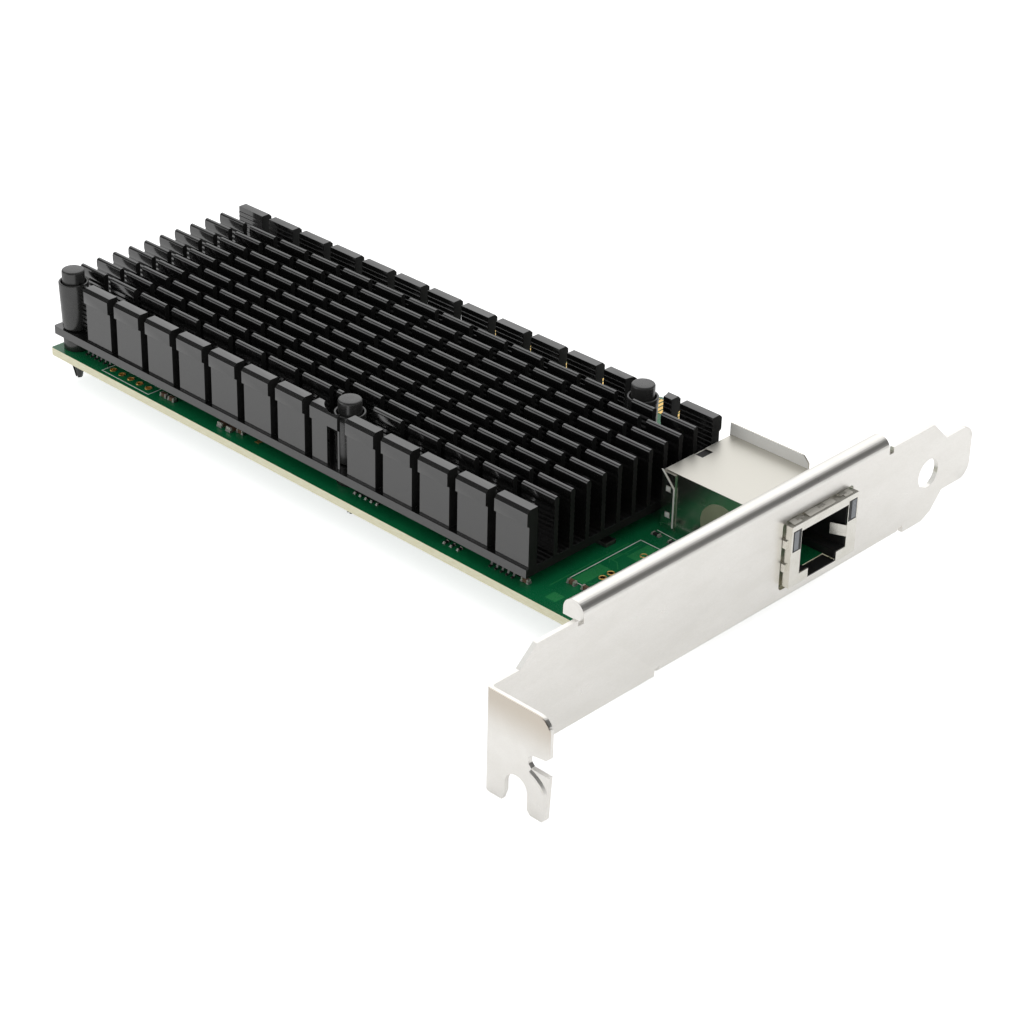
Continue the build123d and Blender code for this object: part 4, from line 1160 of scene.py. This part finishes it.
def addSticker(settings):
    low, high = boxOf("round_sticker")
    centre, radius = (low + high)[[0, 2]] / 2, (high[0] - low[0]) / 2
    rim = arcPoints(centre, radius, 0, 360, settings["segments"] + 1)[:-1]
    addPiece("roundSticker", *prismAlongY(rim, low[1], high[1]), "sticker_film", ("round_sticker",))


addSticker(stickerSettings)
print("stage: solder and sticker")

# bracket: the rolled edge is closed at its near end, and a crease runs across the ear's corner
bracketSettings = {
    "hemStart": -83.8,
    "hemCentre": (56.2, 14.42),
    "plugRadius": 1.62,
    "plugDepth": 0.9,
    "plugFoot": 13.26,
    "plugPoints": 17,
    "plugStand": 0.01,
    "earFace": -104.13,
    "creasePath": [(67.3, 1.4), (68.1, 1.05), (68.9, 0.6), (69.6, 0.05), (70.2, -0.6), (70.6, -1.3)],
    "creaseRows": [(0.0, 0.005), (0.42, 0.3), (1.2, 0.005)],     # reach below the path, and rise
}


def addHemPlug(settings):
    # a half disc on two short legs, carried a little way into the hem
    centre, radius, foot = settings["hemCentre"], settings["plugRadius"], settings["plugFoot"]
    arc = arcPoints(centre, radius, 0, 180, settings["plugPoints"])
    outline = [(centre[0] + radius, foot)] + arc + [(centre[0] - radius, foot)]
    start = settings["hemStart"] - settings["plugStand"]
    addPiece("hemPlug", *prismAlongY(outline, start, start + settings["plugDepth"]), "bracket_steel")


def addCrease(settings):
    # a low pressed ridge: steep on its upper side, and running out flat on its lower side
    path = np.array(settings["creasePath"])
    steps = np.gradient(path, axis=0)
    ways = steps / np.linalg.norm(steps, axis=1)[:, None]
    below = np.stack([ways[:, 1], -ways[:, 0]], axis=1)
    face = settings["earFace"]
    rows = []
    for reach, rise in settings["creaseRows"]:
        line = path + below * reach
        rows.append(np.c_[line[:, 0], np.full(len(line), face - rise), line[:, 1]])
    vertices = np.concatenate(rows)
    n, count = len(path), len(rows)
    row, step = np.meshgrid(np.arange(count - 1), np.arange(n - 1), indexing="ij")
    here = row * n + step
    quads = np.stack([here, here + n, here + n + 1, here + 1], axis=2).reshape(-1, 4)
    addPiece("earCrease", vertices, quads.tolist(), "bracket_steel", smoothAngle=20)


addHemPlug(bracketSettings)
addCrease(bracketSettings)

# network port: its can's walls, which the pieces below are placed from
portSettings = {
    "top": 11.08,
    "nearSide": -35.8,
    "farSide": -18.4,
    "sheet": 0.3,
}
pipeSettings = {
    "notch": (0.4, 2.45),        # from and to, in from the can's side wall
    "pipe": (0.6, 1.75),
    "margin": 0.15,
    "stand": 0.04,
    "sunk": 0.1,
    "notchSoft": 0.015,
    "pipeSoft": 0.02,
}
mouthSettings = {
    "floor": (57.25, 59.82, -0.36, -0.12),      # x from and to, z from and to
    "floorHalf": 3.62,
    "floorSoft": 0.03,
    "tabOuter": (59.88, -20.95),                 # x and y where it leaves the frame
    "tabInner": (57.3, -22.1),
    "tabLevels": (3.5, 5.6),
    "tabSheet": 0.18,
}
coverSettings = {
    "stand": 0.12,
    "sunk": 0.02,
    "foot": 0.6,
    "strip": 0.3,
    "slant": 3.0,
    "belowTop": 0.05,
    "stripSoft": 0.03,
    "tabs": [(33.8, 2.78), (33.8, 7.73)],
    "tabHalf": 0.48,
    "tabSoft": 0.05,
}
flangeSettings = {
    "start": 0.1,                # from the can's rear edge
    "end": 17.05,
    "corner": 1.2,
    "foot": 0.02,
    "rise": 2.15,
    "skin": (-0.02, 0.01),       # y from and to, about the flange's inner face
}
springSettings = {
    "spans": [(-35.0, -32.9), (-31.0, -24.1), (-21.6, -19.5)],
    "front": 59.6,
    "rear": 58.0,
    "rise": 0.42,
    "frontRise": 0.1,
    "sunk": 0.05,
}


def addPipeFaces(port, settings):
    # dark notches in the frame's upper corners, with the light pipes' ends in them
    front = boxOf("port_can")[1][0]
    pipeLow, pipeHigh = boxOf("light_pipe_near")
    back, stand, margin = front - settings["sunk"], settings["stand"], settings["margin"]
    notches, pipes = [], []
    for wall, way in ((port["nearSide"], 1), (port["farSide"], -1)):
        y0, y1 = sorted(wall + way * reach for reach in settings["notch"])
        notches.append(softBox((back, y0, pipeLow[2] - margin), (front + stand, y1, pipeHigh[2] + margin),
                               settings["notchSoft"]))
        y0, y1 = sorted(wall + way * reach for reach in settings["pipe"])
        pipes.append(softBox((back, y0, pipeLow[2] + margin), (front + 2 * stand, y1, pipeHigh[2]),
                             settings["pipeSoft"]))
    addPiece("pipeNotches", *joinPieces(notches), "port_moulding")
    addPiece("pipeFaces", *joinPieces(pipes), "clear_plastic")


def addMouthParts(port, settings):
    # the moulding's floor in the latch slot
    x0, x1, z0, z1 = settings["floor"]
    middle = (port["nearSide"] + port["farSide"]) / 2
    half = settings["floorHalf"]
    floor = softBox((x0, middle - half, z0), (x1, middle + half, z1), settings["floorSoft"])
    addPiece("latchFloor", *floor, "port_moulding")
    # the earthing tab, a thin sheet from the frame's far side into the mouth
    outer, inner = np.array(settings["tabOuter"]), np.array(settings["tabInner"])
    z0, z1 = settings["tabLevels"]
    way = (inner - outer) / np.linalg.norm(inner - outer)
    side = np.array([-way[1], way[0]]) * settings["tabSheet"]
    foot = [outer, inner, inner + side, outer + side]
    vertices = [(x, y, z) for z in (z0, z1) for x, y in foot]
    addPiece("earthingTab", vertices, ringFaces(2, len(foot), closed=True), "nickel_sheet")


def addCoverEdge(port, settings):
    # the rear cover's front edge on the can's near side, and the can's tabs in the cover's windows, in a
    # pale finish as a painted highlight
    edge = boxOf("port_rear_cover")[1][0]
    face = port["nearSide"] - port["sheet"]
    front, back = face - settings["stand"], face + settings["sunk"]
    strip, slant = settings["strip"], settings["slant"]
    bend, top = port["top"] - slant, port["top"] - settings["belowTop"]
    parts = [softBox((edge - strip, front, settings["foot"]), (edge, back, bend), settings["stripSoft"])]
    # above the bend the edge leans back to the can's rear corner
    leaning = [(edge - strip, bend), (edge, bend), (edge - slant + strip, top), (edge - slant, top)]
    parts.append(prismAlongY(leaning, front, back))
    half = settings["tabHalf"]
    for x, z in settings["tabs"]:
        parts.append(softBox((x - half, front, z - half), (x + half, back, z + half), settings["tabSoft"]))
    addPiece("coverEdge", *joinPieces(parts), "bright_sheet")


def addFlangeFace(port, settings):
    # inner face of the can's raised flange, with the same cut corner, as a pale skin that paints a
    # highlight on it
    rear = boxOf("port_can")[0][0]
    left, right = rear + settings["start"], rear + settings["end"]
    foot, crest = port["top"] + settings["foot"], port["top"] + settings["rise"]
    corner = settings["corner"]
    outline = [(left, foot), (right, foot), (right, crest - corner), (right - corner, crest), (left, crest)]
    face = port["farSide"] - port["sheet"]
    skin = prismAlongY(outline, face + settings["skin"][0], face + settings["skin"][1])
    addPiece("flangeFace", *skin, "bright_sheet")


def addTopSprings(port, settings):
    # wedges that rise from the frame's face towards the bracket
    foot, top = port["top"] - settings["sunk"], port["top"]
    outline = [(settings["front"], foot), (settings["front"], top + settings["frontRise"]),
               (settings["rear"], top + settings["rise"]), (settings["rear"], foot)]
    springs = [prismAlongY(outline, start, end) for start, end in settings["spans"]]
    addPiece("topSprings", *joinPieces(springs), "nickel_sheet")


addPipeFaces(portSettings, pipeSettings)
addMouthParts(portSettings, mouthSettings)
addCoverEdge(portSettings, coverSettings)
addFlangeFace(portSettings, flangeSettings)
addTopSprings(portSettings, springSettings)
print("stage: bracket and port details")
